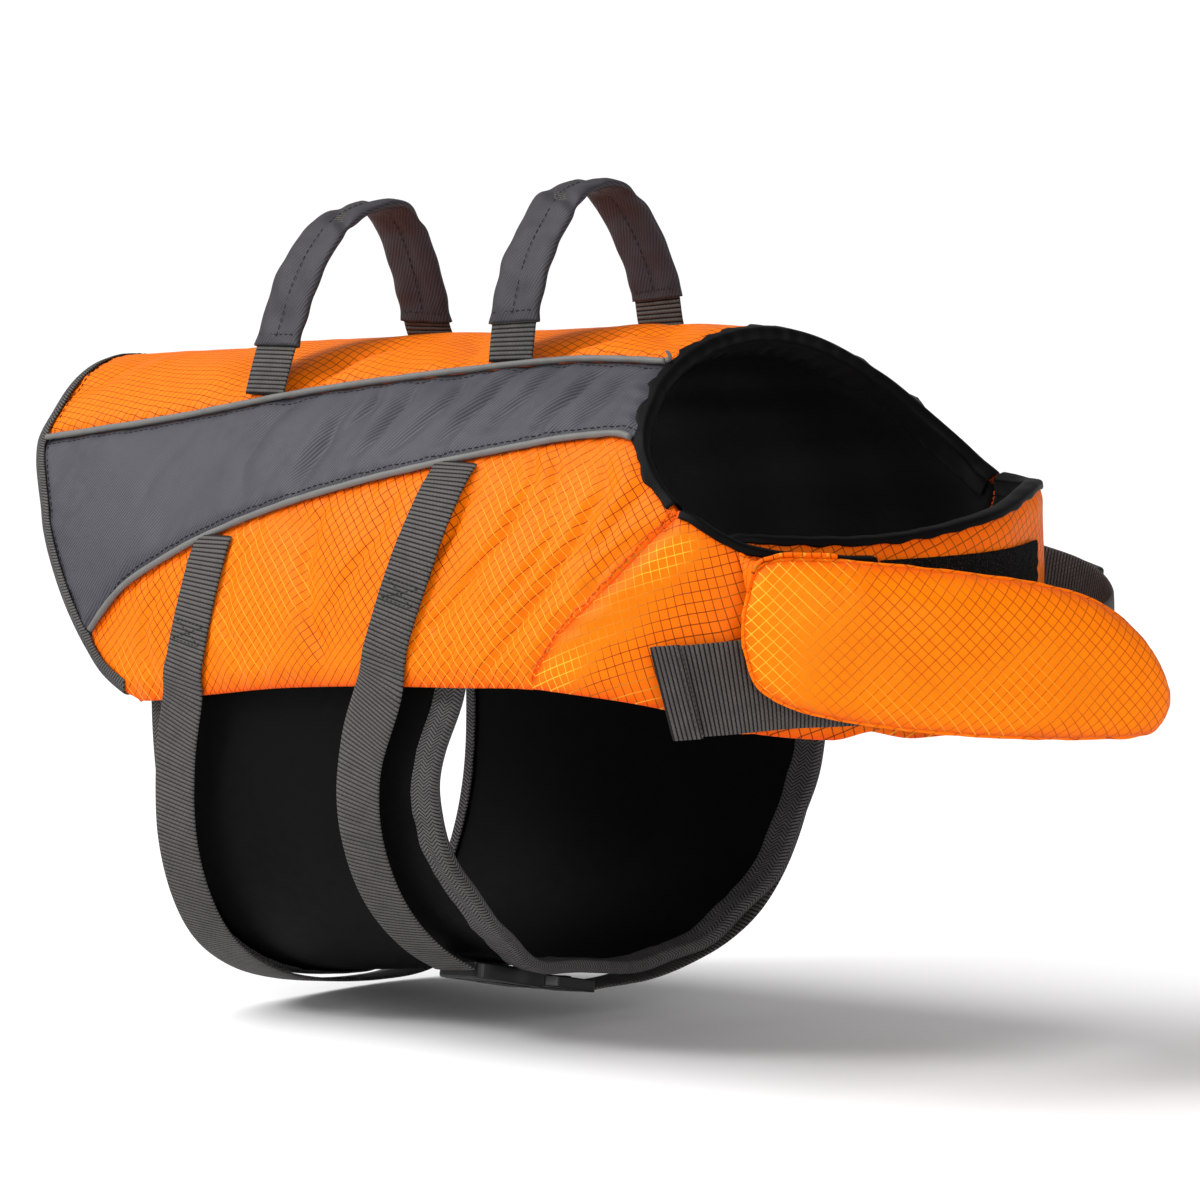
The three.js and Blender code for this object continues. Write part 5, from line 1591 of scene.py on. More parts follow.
    def build(self) -> None:
        """Makes both wings, their linings and their facings."""
        w = self.wardrobe
        for hand, side, area in (("right", RIGHT, (0.09, 0.1)), ("left", LEFT, (0.09, 0.24))):
            cover, cloth = f"chest_wing_cover_{hand}", self.lining_cloth(side)
            made = add(cover, self.panel(side), w.wing_orange, "orange_ripstop", f"chest_wing_{hand}")
            node = f"wing_lining_{hand}"
            made = add(f"wing_lining_cloth_{hand}", cloth, w.lining, "black_lining", node)
            body, length = self.facing(side)
            node = f"wing_facing_{hand}"
            made = add(f"wing_facing_cloth_{hand}", body, w.lining, "black_lining", node)


@dataclass(frozen=True)
class Belly:
    """The belly panel's form: rounded sections between the two flanks."""

    thickness: float = 3.0
    binding: float = 12.0
    squareness: float = 2.6
    far_drop: float = 13.0
    sections: Table = Table(
        ("along", "half", "top", "bottom"),
        (
            (-84, 107.5, -150, -284), (-40, 113, -143, -279.5), (60, 122.5, -132, -268.5),
            (104, 126, -129, -267)
        )
    )
    ends: Table = Table(
        ("turn", "rear", "front"),
        (
            (0, -80, 123), (8, -79, 111), (18, -79, 103), (34, -80, 105), (50, -82, 107), (70, -84, 97),
            (92, -85, 91), (115, -86, 95), (138, -86, 105), (154, -84, 112), (168, -84, 116),
            (180, -85, 120)
        )
    )

    def point(self, along: Array, turn: Array, lift: Value = 0.0) -> Array:
        """Points outside the panel by a lift.

        The section is an ellipse of the given squareness, lowered on the far side.

        Args:
            along: Measure from tail to neck.
            turn: Degrees from the right flank under the belly to the left one.
            lift: Distance outwards.

        Returns:
            The points, in millimetres.
        """
        half, top, bottom = (self.sections.read(n, along) for n in ("half", "top", "bottom"))
        angle = np.radians(turn)
        power = 2 / self.squareness
        sine, cosine = np.clip(np.sin(angle), 0, 1), np.cos(angle)
        across = -np.sign(cosine) * np.abs(cosine) ** power
        down = sine**power
        z = top + (bottom - top) * down - self.far_drop * across * sine
        out = unit(np.stack([0 * down, across, -down * 0.9], -1))
        return np.stack([along + 0 * down, half * across, z], -1) + out * np.asarray(lift)[..., None]


@dataclass
class BellyPanel:
    """The neoprene belly panel and the binding tape along its two ends."""

    saddle: Saddle
    belly: Belly
    wardrobe: Wardrobe
    root_girth: float = 0.93

    def end(self, name: str, place: Array) -> Array:
        """Along of the front or rear end, by the place round."""
        return self.belly.ends.read(name, 180 * np.clip(place, 0, 1))

    def waves(self, along: Array, place: Array) -> Array:
        """Lift of the free ends: a few slow waves that die away from the edge."""
        near_front = np.exp(-np.abs(self.end("front", place) - along) / 26)
        near_rear = np.exp(-np.abs(along - self.end("rear", place)) / 22)
        free = ease(np.minimum(place, 1 - place) / 0.12)
        front = 1.5 * ripple(place * 520, 70, 91) + 2.2 * np.exp(-(((place - 0.44) / 0.05) ** 2))
        return free * (front * near_front + 0.8 * ripple(place * 520, 90, 93) * near_rear)

    def at(self, along: Array, place: Array, lift: Value) -> Array:
        """Points of the belly by their place round: under 0 and over 1 are the sewn strips.

        Args:
            along: Measure from tail to neck.
            place: 0 at the right flank's foot and 1 at the left one's.
            lift: Distance outwards.

        Returns:
            The points, in millimetres.
        """
        s = self.saddle
        lift = np.broadcast_to(lift, np.shape(place))
        turn = 180 * np.clip(place, 0, 1)
        foot = self.belly.point(along, turn, lift + self.waves(along, place))
        side = np.where(place < 0.5, RIGHT, LEFT)
        girth = np.full(np.shape(place), self.root_girth)
        depth = EdgeTape(s).lining_depth(along, girth) + 2.9 - lift
        head = s.at(along, girth, side, depth)
        share = np.maximum(np.maximum(-place, place - 1), 0) * 8
        return foot + (head - foot) * share[..., None]

    def panel(self) -> Body:
        """The neoprene sheet with its two sewn strips."""
        place, u = np.meshgrid(np.linspace(-0.125, 1.125, 200), np.linspace(0, 1, 50), indexing="ij")
        along = mix(self.end("rear", place), self.end("front", place), u)
        outer = self.at(along, place, 0.0)
        inner = self.at(along, place, -self.belly.thickness)
        cloth = np.stack([along, place * 520], -1)
        return closed_wall(outer, inner, cloth, {"seam": 0 * place}, bulge=0.3)

    def tape(self, at_front: bool) -> tuple[Body, float]:
        """The tape folded over one end of the panel, a little wavy, and its length."""
        place = np.linspace(-0.125, 1.125, 300)
        edge = self.end("front" if at_front else "rear", place)
        way = 1.0 if at_front else -1.0
        wobble = 0.5 * ripple(place * 520, 30, 95 if at_front else 96)
        leg = edge - way * (self.belly.binding + wobble)
        inside_leg = leg if at_front else edge - way * (4 + 0.5 * wobble)
        stand = 0.45 + 0.5
        inner = -self.belly.thickness - stand
        puff = 0.2 * (1 + ripple(place * 520, 16, 97))
        tape = EdgeTape(self.saddle)
        over = np.broadcast_to([way, 0.0, 0.0], (len(place), 3))
        grid = tape.fold(
            self.at(leg, place, stand + puff - 0.2), self.at(edge, place, stand) + over * 0.3,
            self.at(edge, place, inner) + over * 0.3, self.at(inside_leg, place, inner - puff), over,
            stand
        )
        return thick(grid, 1.0), float(travel(grid[:, 7])[-1])

    def build(self) -> None:
        """Makes the panel and both tapes."""
        w = self.wardrobe
        made = add("belly_panel_sheet", self.panel(), w.neoprene, "black_neoprene", "belly_panel")
        for name, at_front in (("front", True), ("rear", False)):
            body, length = self.tape(at_front)
            node = f"belly_tape_{name}"
            made = add(f"belly_binding_{name}", body, w.binding, "grey_binding", node)


@dataclass(frozen=True)
class Arch:
    """One handle: where it stands, how it leans, and its arch from right to left."""

    name: str
    along: float
    lean: float
    seat: float
    sleeve_right: float
    sleeve_left: float
    arch: tuple[tuple[float, float], ...]


@dataclass
class Handles:
    """The two grab handles: webbing in a sewn sleeve."""

    saddle: Saddle
    wardrobe: Wardrobe
    width: float = 25.0
    thickness: float = 1.7
    sleeve_width: float = 29.0
    sleeve_thickness: float = 5.2
    arches: tuple[Arch, ...] = (
        Arch(
            "rear", -52, 2, 0.12, 8, 14,
            ((-58, 7), (-52.5, 20), (-45, 36), (-36, 50), (-22, 62), (-5, 68.5), (11, 68),
             (23, 58), (31, 43), (37.5, 26), (44, 8)),
        ),
        Arch(
            "front", 89, -13, 0.38, 24, 30,
            ((-50.5, 28), (-44, 42), (-34, 57), (-20, 70), (-5, 79), (9, 83), (21, 79),
             (31, 68), (38, 53), (43, 35), (46, 16)),
        ),
    )

    def path(self, arch: Arch) -> tuple[Array, Array, Array]:
        """Points of a handle's middle with the directions of its width and face."""
        s = self.saddle
        _, girth = s.on_seam(s.top, (arch.along + 200) / 388)
        depth = arch.seat - self.thickness / 2 - GAP
        place, girths = np.array([arch.along, arch.along]), np.array([girth, girth])
        roots = s.at(place, girths - 0.0125, np.array([RIGHT, LEFT]), depth)
        crown = max(height for _, height in arch.arch)
        middle = [
            (arch.along + arch.lean * min(1, height / crown) ** 2, across, height) for across,
            height in arch.arch
        ]
        line = spline(np.vstack([roots[:1], middle, roots[1:]]), 181)
        run, seed = travel(line), int(arch.along) + 60
        free = np.sin(np.pi * run / run[-1])[:, None]
        shift = [
            1.4 * ripple(run, 52, seed), 0.5 * ripple(run, 60, seed + 1),
            1.3 * ripple(run, 40, seed + 2)
        ]
        line = line + 0.55 * np.stack(shift, -1) * free
        tapers = [
            unit(s.surface(arch.along + 8, girth, side) - s.surface(arch.along - 8, girth, side))
            for side in (RIGHT, LEFT)
        ]
        wanted = mix(tapers[0], tapers[1], np.linspace(0, 1, len(line))[:, None])
        return line, *frames(line, wanted)

    def sleeve(self, line: Array, across: Array, face: Array) -> Body:
        """The sleeve: a flat tube drawn in along its middle seam and dented near the crown.

        A ring is a flattened ellipse of power six. A narrow valley runs down the middle of both
        faces, small waves cross it, and one deep dent lies just past the crown.

        Args:
            line: Points of its middle.
            across: Directions of its width.
            face: Directions of its face.

        Returns:
            The closed tube wall.
        """
        run = travel(line)[:, None]
        share = run / run[-1]
        turn = np.linspace(0, 2 * np.pi, 41)[:-1][None]
        x = np.sign(np.cos(turn)) * np.abs(np.cos(turn)) ** 0.55
        y = np.sign(np.sin(turn)) * np.abs(np.sin(turn)) ** 0.8
        width = self.sleeve_width / 2 * (1 + 0.02 * ripple(run, 40, 14))
        valley = 1 - 0.42 * np.exp(-((x / 0.1) ** 2)) + 0.04 * ripple(run + 9 * x, 9, 15)
        puff = valley * (1 + 0.08 * ripple(run, 30, 16))
        dent = np.exp(-(((share - 0.63 - 0.05 * x) / 0.03) ** 2))
        dent = dent + 0.7 * np.exp(-(((share - 0.44 + 0.07 * x) / 0.022) ** 2))
        thickness = self.sleeve_thickness / 2 * puff
        lift = y * thickness * (1 - 0.5 * dent) + 1.6 * dent * (1 - x**2)
        lift = lift + 0.36 * rumple(run, x * 16, 18, 37) * np.abs(y)
        width = width * (1 - 0.07 * dent) + 0.5 * ripple(run, 15, 38)
        ends = 1 + 0.04 * np.exp(-((np.minimum(share, 1 - share) / 0.02) ** 2))
        offset = across[:, None] * (x * width * ends)[..., None] + face[:, None] * lift[..., None]
        bore_x, bore_y = (self.width / 2 + GAP) * x, (self.thickness / 2 + GAP) * y
        bore = across[:, None] * (bore_x + 0 * share)[..., None]
        bore = bore + face[:, None] * (bore_y + 1.6 * dent * (1 - x**2))[..., None]
        return sleeve_wall(line[:, None] + offset, line[:, None] + bore)

    def build(self) -> None:
        """Makes both handles with the sleeves' stitching."""
        w = self.wardrobe
        for arch in self.arches:
            line, across, face = self.path(arch)
            covered = np.where(np.arange(181) < 90, arch.sleeve_right, arch.sleeve_left)
            inside = line[:, 2] > covered
            part = line[inside], across[inside], face[inside]
            body = ribbon(line, across, face, self.width, self.thickness)
            web, node = f"handle_web_{arch.name}", f"handle_webbing_{arch.name}"
            made = add(web, body, w.webbing, "grey_webbing", node)
            name, node = f"handle_cover_{arch.name}", f"handle_sleeve_{arch.name}"
            made = add(name, self.sleeve(*part), w.sleeve, "grey_oxford", node)
            rows = []
            for way in (1.0, -1.0):
                middle = part[0] + part[2] * way * (self.sleeve_thickness / 2 * 0.72)
                rows.append(stitch_line(middle[3:-3], part[2][3:-3] * way, width=0.5))
                for end in (4, -5):
                    s = np.linspace(-0.82, 0.82, 20)[:, None] * self.sleeve_width / 2
                    cross = part[0][end] + part[1][end] * s
                    cross = cross + part[2][end] * way * self.sleeve_thickness / 2 * 0.98
                    rows.append(stitch_line(cross, np.tile(part[2][end] * way, (20, 1)), width=0.5))
            name = f"handle_stitching_{arch.name}"
            add(name, Body.joined(rows), w.grey_thread, "grey_oxford")


@dataclass
class Buckle:
    """A side-release buckle: a hollow-looking socket, and a plug with two sprung arms."""

    length: float
    width: float
    thickness: float
    slot: float

    @staticmethod
    def plate(
        outline: Sequence[tuple[float, float]], holes: Sequence[Sequence[tuple[float, float]]],
        thickness: float, lift: float = 0.0, bevel: float = 0.6
    ) -> bpy.types.Mesh:
        """A flat plate with holes and rounded edges, as a mesh of its own.

        Args:
            outline: Corners of its outline.
            holes: Corners of each hole.
            thickness: Thickness of the plate.
            lift: Height of its middle.
            bevel: Rounding of its edges.

        Returns:
            The mesh, in millimetres.
        """
        curve = bpy.data.curves.new("plate", "CURVE")
        curve.dimensions, curve.fill_mode = "2D", "BOTH"
        curve.extrude = thickness / 2 - bevel
        curve.bevel_depth, curve.bevel_resolution = bevel, 2
        curve.offset = -bevel
        for loop in (outline, *holes):
            path = curve.splines.new("POLY")
            path.points.add(len(loop) - 1)
            flat = [(x, y, 0.0, 1.0) for x, y in loop]
            path.points.foreach_set("co", np.array(flat).ravel())
            path.use_cyclic_u = True
        holder = bpy.data.objects.new("plate", curve)
        mesh = bpy.data.meshes.new_from_object(holder)
        mesh.transform(Matrix.Translation((0, 0, lift)))
        bpy.data.objects.remove(holder)
        bpy.data.curves.remove(curve)
        return mesh

    @staticmethod
    def rounded(corners: Sequence[tuple[float, float]], radius: float) -> list[tuple[float, float]]:
        """An outline with each corner turned into a short arc of five points."""
        p = np.array(corners, float)
        before, after = unit(np.roll(p, 1, 0) - p), unit(np.roll(p, -1, 0) - p)
        sizes = np.linalg.norm(np.roll(p, -1, 0) - p, axis=1)
        room = np.minimum(radius, np.minimum(sizes, np.roll(sizes, 1)) * 0.45)[:, None]
        t = np.linspace(0, 1, 5)[None, :, None]
        a, b = (p + before * room)[:, None], (p + after * room)[:, None]
        arc = a * (1 - t) ** 2 + 2 * p[:, None] * t * (1 - t) + b * t**2
        return [tuple(row) for row in arc.reshape(-1, 2)]

    def block(self, x0: float, x1: float, half: float) -> list[tuple[float, float]]:
        """Corners of a rectangle."""
        return [(x0, -half), (x1, -half), (x1, half), (x0, half)]

    def socket(self) -> list[bpy.types.Mesh]:
        """The socket: a bowed body with a web slot and a raised panel on each face."""
        body, half, bar = self.length * 0.58, self.width / 2, self.length * 0.09
        outline = [
            (0, -half * 0.84), (body * 0.16, -half), (body * 0.5, -half), (body * 0.74, -half * 0.84),
            (body, -half * 0.9), (body, half * 0.9), (body * 0.74, half * 0.84), (body * 0.5, half),
            (body * 0.16, half), (0, half * 0.84)
        ]
        slot = self.block(bar, bar * 2, self.slot / 2)
        plate = self.plate(self.rounded(outline, 3), [self.rounded(slot, 0.8)], self.thickness, 0, 0.9)
        raised = self.rounded(self.block(body * 0.42, body * 0.93, half * 0.52), 3)
        panels = [
            self.plate(raised, [], 0.9, way * (self.thickness / 2 + 0.05), 0.3) for way in (1, -1)
        ]
        return [plate, *panels]

    def plug(self) -> list[bpy.types.Mesh]:
        """The plug: a waisted bar with two web slots, and the arms' shoulders."""
        body, half, bar = self.length * 0.58 + 0.4, self.width / 2, self.length * 0.09
        outline = [
            (body, -half * 0.62), (body + bar, -half * 0.95), (self.length, -half * 0.9),
            (self.length, half * 0.9), (body + bar, half * 0.95), (body, half * 0.62)
        ]
        slots = [
            self.block(self.length - bar * 2.1, self.length - bar, self.slot / 2),
            self.block(self.length - bar * 3.5, self.length - bar * 2.9, self.slot * 0.44)
        ]
        height = self.thickness * 0.72
        plate = self.plate(
            self.rounded(outline, 2), [self.rounded(s, 0.6) for s in slots], height, 0, 0.7
        )
        ribs = [
            self.plate(
                self.rounded(
                    self.block(self.length - bar * 2.8, self.length - bar * 2.2, half * 0.8), 0.6
                ),
                [], 0.8, way * (height / 2 + 0.1), 0.3
            ) for way in (1, -1)
        ]
        return [plate, *ribs]

    def build(
        self, start: Array, end: Array, across: Array, names: tuple[str, str], w: Wardrobe
    ) -> None:
        """Makes both halves between two points.

        Args:
            start: Where the socket's bar lies.
            end: A point towards the plug.
            across: Direction of the width.
            names: The CAD nodes of the socket and the plug.
            w: The finishes.
        """
        x = unit(end - start)
        y = unit(across - (across @ x) * x)
        turn = Matrix([[x[k], y[k], np.cross(x, y)[k], start[k]] for k in range(3)] + [[0, 0, 0, 1]])
        for node, meshes in zip(names, (self.socket(), self.plug())):
            points, faces, total = [], [], 0
            for mesh in meshes:
                points += [turn @ v.co for v in mesh.vertices]
                faces += [[i + total for i in p.vertices] for p in mesh.polygons]
                total += len(mesh.vertices)
                bpy.data.meshes.remove(mesh)
            mesh = bpy.data.meshes.new(node + "_moulding")
            mesh.from_pydata([tuple(p * MM) for p in points], [], faces)
            mesh.materials.append(w.acetal)
            made = bpy.data.objects.new(mesh.name, mesh)
            bpy.context.scene.collection.objects.link(made)
            self.tidy(mesh)
            set_in_place(made, "black_acetal", node)

    @staticmethod
    def tidy(mesh: bpy.types.Mesh) -> None:
        """Merges doubled points and turns every face outwards."""
        work = bmesh.new()
        work.from_mesh(mesh)
        bmesh.ops.remove_doubles(work, verts=work.verts, dist=1e-6)
        bmesh.ops.recalc_face_normals(work, faces=work.faces)
        work.to_mesh(mesh)
        work.free()


@dataclass(frozen=True)
class StrapRoute:
    """One belly strap: its top on the flank, its way round the belly, and its buckle."""

    name: str
    seam: float
    hem: float
    span: tuple[float, float]
    slack: float
    under: Table


@dataclass
class BellyStraps:
    """The two belly straps in four halves, their buckles and their tacking."""

    saddle: Saddle
    belly: Belly
    wardrobe: Wardrobe
    width: float = 25.0
    thickness: float = 1.7
    routes: tuple[StrapRoute, ...] = (
        StrapRoute(
            "rear", -37, -46, (128, 156), 4.6,
            Table(
                ("turn", "along", "lift"),
                (
                    (7, -55, 9.5), (16, -60, 9), (30, -64, 9), (50, -70, 8.5), (72, -75, 6),
                    (96, -77, 5), (128, -74, 11.6), (156, -64, 11.6), (173, -55, 10)
                )
            )
        ),
        StrapRoute(
            "front", 105, 88, (68, 92), 2.0,
            Table(
                ("turn", "along", "lift"),
                (
                    (7, 71, 8.5), (16, 64, 8), (30, 60, 7.5), (50, 58, 7.5), (68, 61, 9), (92, 70, 9),
                    (112, 81, 5), (132, 90, 5), (150, 94, 5.5), (165, 95, 7.5), (173, 94, 8.5)
                )
            )
        )
    )

    def flank(self, route: StrapRoute, side: float) -> Array:
        """Edge points down the flank: for each of nine heights the rear and the front edge."""
        s = self.saddle
        t = np.linspace(0, 1, 9)[:, None]
        along = mix(route.seam, route.hem, t**1.6) + np.array([-1, 1]) * self.width / 2
        start, end = s.tail(s.low(0)), s.length(s.front(s.low(1)))
        share = np.clip((s.length(along) - start) / (end - start), 0, 1)
        girth = mix(s.low(share) + 0.013, 0.995, t)
        depth = np.min([s.skin_depth(along + d, girth) for d in (-11, 0, 11)], axis=0)
        return s.at(along, girth, side, depth - 0.7 - self.thickness / 2)

    def below(self, route: StrapRoute, turn: Array) -> Array:
        """Edge points round the belly at the given turns."""
        turn = np.asarray(turn, float)[:, None]
        along = route.under.read("along", turn) + np.array([-1, 1]) * self.width / 2
        lift = np.broadcast_to(route.under.read("lift", turn), along.shape)
        return self.belly.point(along, np.broadcast_to(turn, along.shape), lift)

    def half(self, route: StrapRoute, side: float) -> tuple[Array, Array, Array]:
        """Middle points of one half with the directions of its width and face."""
        turns = np.linspace(7, route.span[0], 9) if side < 0 else np.linspace(173, route.span[1], 9)
        edges = np.concatenate([self.flank(route, side), self.below(route, turns)])
        rear, front = (spline(edges[:, k], 240) for k in (0, 1))
        line = (rear + front) / 2
        return line, *frames(line, front - rear)

    def tack(self, line: Array, across: Array, face: Array, at: float) -> Body:
        """Two rows of stitches across the strap with a cross between them."""
        run = travel(line)
        rows = []
        s = np.linspace(-0.84, 0.84, 16) * self.width / 2

        for begin, end in ((0, 0), (9, 9), (0, 9), (9, 0)):
            distance = np.linspace(at + begin, at + end, 16)
            middle, way, normal = (read_along(v, run, distance) for v in (line, across, face))
            path = middle + way * s[:, None]
            rows.append(stitch_line(path + normal * (self.thickness / 2 + 0.05), normal, 2.0, 0.8, 0.55))
        return Body.joined(rows)

    def build(self) -> None:
        """Makes the straps and buckles."""
        w = self.wardrobe
        tacks = []
        for route in self.routes:
            for hand, side in (("right", RIGHT), ("left", LEFT)):
                line, across, face = self.half(route, side)
                outward = face * (-1.0 if (face[40] @ (line[40] - [0, 0, -100])) < 0 else 1.0)
                body = ribbon(line, across, outward, self.width, self.thickness)
                name, node = (f"belly_{kind}_{route.name}_{hand}" for kind in ("web", "strap"))
                made = add(name, body, w.webbing, "grey_webbing", node)
                length = float(travel(line)[-1]) * MM
                hem = 58.0 if route.name == "front" else 40.0
                tacks.append(self.tack(line, across, outward, hem))
            ends = self.below(route, route.span)
            middle = ends.mean(1)
            way = unit(middle[1] - middle[0])
            length = float(np.linalg.norm(middle[1] - middle[0])) - 2 * route.slack
            across = (ends[:, 1] - ends[:, 0]).sum(0)
            names = f"buckle_socket_{route.name}", f"buckle_plug_{route.name}"
            start = middle[0] + way * route.slack
            Buckle(length, 32, 7.5, 26.6).build(start, middle[1], across, names, w)
        add("strap_tacking", Body.joined(tacks), w.grey_thread, "grey_webbing")


@dataclass
class ChestStrap:
    """The wide strap round the outside of the wings, with its folded end and its buckle."""

    saddle: Saddle
    wardrobe: Wardrobe
    width: float = 38.0
    thickness: float = 1.9
    buckle_at: float = 0.871
    route: Table = Table(
        ("turn", "off", "height"),
        (
            (28, 6, -122), (40, 5, -120), (52, 4.4, -118), (64, 4.4, -118), (78, 5, -118),
            (90, 8, -118.5), (104, 17, -119), (118, 25, -118), (130, 30, -114.5), (140, 28, -109.5),
            (150, 21, -103), (160, 12, -98.5), (171, 5, -95), (180, 1.4, -93)
        )
    )

    def path(self, count: int = 300) -> Array:
        """Points of the strap's middle, from its free end to where it is sewn on the left."""
        turn, off, height = np.array(self.route.rows, float).T
        angle = np.radians(turn)
        x = self.saddle.nose + (self.saddle.reach + off) * np.sin(angle)
        knots = np.stack([x, -(139.5 + off) * np.cos(angle), height], -1)
        return spline(np.vstack([knots, [176, 139.6, -92]]), count)

    def build(self) -> None:
        """Makes the strap, the folded end with its stitching, and the buckle."""
        w = self.wardrobe
        line = self.path()
        upright = np.tile([0.0, 0.0, 1.0], (len(line), 1))
        lean = 0.17 * (1 - ease(travel(line) / 55))[:, None]
        run = unit(np.gradient(line, axis=0))
        across, face = frames(line, upright)
        across = unit(across - run * lean)
        out = np.cross(unit(np.gradient(line, axis=0)), [0.0, 0.0, 1.0])
        face = face * np.sign((face * out).sum(-1, keepdims=True))
        body = ribbon(line, across, face, self.width, self.thickness)
        made = add("chest_web", body, w.wide_webbing, "grey_webbing", "chest_strap")
        lift = self.thickness + GAP
        part = slice(0, 10)
        hem = evenly(line[part] + face[part] * lift, 30)
        hem_across, hem_face = (np.repeat(v[:1], 30, 0) for v in (across, face))
        body = ribbon(hem, hem_across, hem_face, self.width + 1.5, self.thickness)
        made = add("chest_web_hem", body, w.wide_webbing, "grey_webbing", "chest_strap_hem")
        s = np.linspace(-0.9, 0.9, 20)[:, None] * self.width / 2
        row = hem[-6] + hem_across[0] * s + hem_face[0] * (self.thickness / 2 + 0.05)
        stitched = stitch_line(row, np.repeat(hem_face[:1], 20, 0), 2.2, 0.8, 0.6)
        add("chest_hem_stitching", stitched, w.grey_thread, "grey_webbing")
        k = int(self.buckle_at * (len(line) - 1))
        run = unit(line[k + 1] - line[k - 1])
        buckle = Buckle(56, 50, 10, 40)
        centre = line[k] + out[k] * (self.thickness / 2 + buckle.thickness / 2 + GAP)
        centre[2] = -105
        names = ("chest_buckle_socket", "chest_buckle_plug")
        start, end = centre + run * buckle.length / 2, centre - run * buckle.length / 2
        buckle.build(start, end, np.array([0.0, 0.0, 1.0]), names, w)


@dataclass
class ChinFloat:
    """The padded float under the chin, the cloth that it hangs by, and the patch it presses on."""

    saddle: Saddle
    wings: ChestWings
    wardrobe: Wardrobe
    length: float = 194.0
    thickness: float = 22.0
    edge: float = 3.0
    start: tuple[float, float] = (274.0, -112.0)
    turn: tuple[float, float] = (46.0, 76.0)
    outline: Table = Table(
        ("share", "upper", "lower"),
        (
            (0, -88, -101), (0.02, -72.5, -114), (0.06, -66.5, -122.5), (0.14, -65.5, -129),
            (0.3, -68, -135.5), (0.5, -73, -140.5), (0.7, -80, -143.5), (0.82, -88, -144.5),
            (0.92, -102, -144.5), (0.98, -117, -140.5), (1, -126, -133)
        )
    )

    def axis(self, share: Array) -> tuple[Array, Array]:
        """Points of the float's middle sheet at height 0, and its outward direction.

        The heading turns evenly with the length, so the plan is part of a circle.

        Args:
            share: Share of the float's length.

        Returns:
            The points and the directions.
        """
        a, b = np.radians(self.turn)
        share = np.asarray(share, float)
        heading = a + (b - a) * share
        radius = self.length / (b - a)
        x = self.start[0] + radius * (np.sin(heading) - math.sin(a))
        y = self.start[1] - radius * (np.cos(heading) - math.cos(a))
        flat = np.zeros_like(share)
        return np.stack([x, y, flat], -1), np.stack([np.sin(heading), -np.cos(heading), flat], -1)

    def pillow(self, rows: int, columns: int, full: float) -> tuple[Array, Array]:
        """Both faces of the float as grids, swollen by a share of the full thickness."""
        s = np.linspace(0, 1, rows)
        share = 0.5 - 0.5 * np.cos(np.pi * s)
        u, v = np.meshgrid(share, 0.5 - 0.5 * np.cos(np.pi * np.linspace(0, 1, columns)), indexing="ij")
        point, out = self.axis(u)
        upper, lower = (self.outline.read(n, u) for n in ("upper", "lower"))
        from_end = np.minimum(0.6 * u, 1 - u) * self.length
        from_side = np.minimum(v, 1 - v) * (upper - lower)
        swell = [
            np.sqrt(np.clip(1 - (1 - np.clip(d / 24, 0, 1)) ** 2, 0, 1)) for d in (from_end, from_side)
        ]
        half = self.edge / 2 + (self.thickness - self.edge) / 2 * swell[0] * swell[1] * full
        point[..., 2] = mix(upper, lower, v)
        half = half[..., None]
        return point + out * half, point - out * half

    def share_of(self, points: Array) -> Array:
        """Share of the length of any points, from their direction round the plan's centre."""
        a, b = np.radians(self.turn)
        radius = self.length / (b - a)
        centre = np.array([self.start[0] - radius * math.sin(a), self.start[1] + radius * math.cos(a)])
        way = points[:, :2] - centre
        heading = np.arctan2(way[:, 0], -way[:, 1])
        return (heading - a) / (b - a)

    def swollen(self, name: str) -> Piece:
        """The float's padding blown up by a short cloth simulation.

        The pillow is remeshed evenly and inflated for 20 frames without gravity. Only its
        swelling across the float is kept, 5 millimetres at most, so its outline stays.

        Args:
            name: The object's name.

        Returns:
            The finished object.
        """
        outer, inner = self.pillow(60, 30, 0.86)
        made = make_object(name, closed_wall(outer, inner, bulge=0.8), self.wardrobe.brightened_float_orange)
        remesh = made.modifiers.new("remesh", "REMESH")
        remesh.mode, remesh.voxel_size = "VOXEL", 0.0035
        self.apply(made)
        before = self.points_of(made)
        cloth = made.modifiers.new("cloth", "CLOTH")
        cloth.settings.quality = 6
        cloth.settings.mass = 0.15
        cloth.settings.tension_stiffness = 40
        cloth.settings.compression_stiffness = 12
        cloth.settings.shear_stiffness = 12
        cloth.settings.bending_stiffness = 0.4
        cloth.settings.use_pressure = True
        cloth.settings.uniform_pressure_force = 4
        cloth.settings.effector_weights.gravity = 0
        for number in range(1, 21):
            bpy.context.scene.frame_set(number)
        self.apply(made)
        bpy.context.scene.frame_set(1)
        share = self.share_of(before)
        _, out = self.axis(np.clip(share, 0, 1))
        swell = ((self.points_of(made) - before) * out).sum(1, keepdims=True)
        points = before + out * np.clip(swell, -5, 5)
        middle = np.clip(share, 0, 1)
        upper, lower = (self.outline.read(n, middle) for n in ("upper", "lower"))
        near = np.minimum(upper - points[:, 2], points[:, 2] - lower)
        near = np.minimum(near, np.minimum(share, 1 - share) * self.length)
        drawn = ripple(share * 194 + points[:, 2] * 0.4, 13, 101) * np.exp(-(((near - 7) / 6) ** 2))
        soft = rumple(share * 194, points[:, 2], 40, 103) * ease(near / 14)
        facing = np.sign(((points - self.axis(middle)[0]) * out).sum(1) + 1e-9)
        shift = (facing * (0.45 * drawn + 0.5 * soft))[:, None]
        points = points + out * shift
        self.dress(made, points, share, near)
        return made

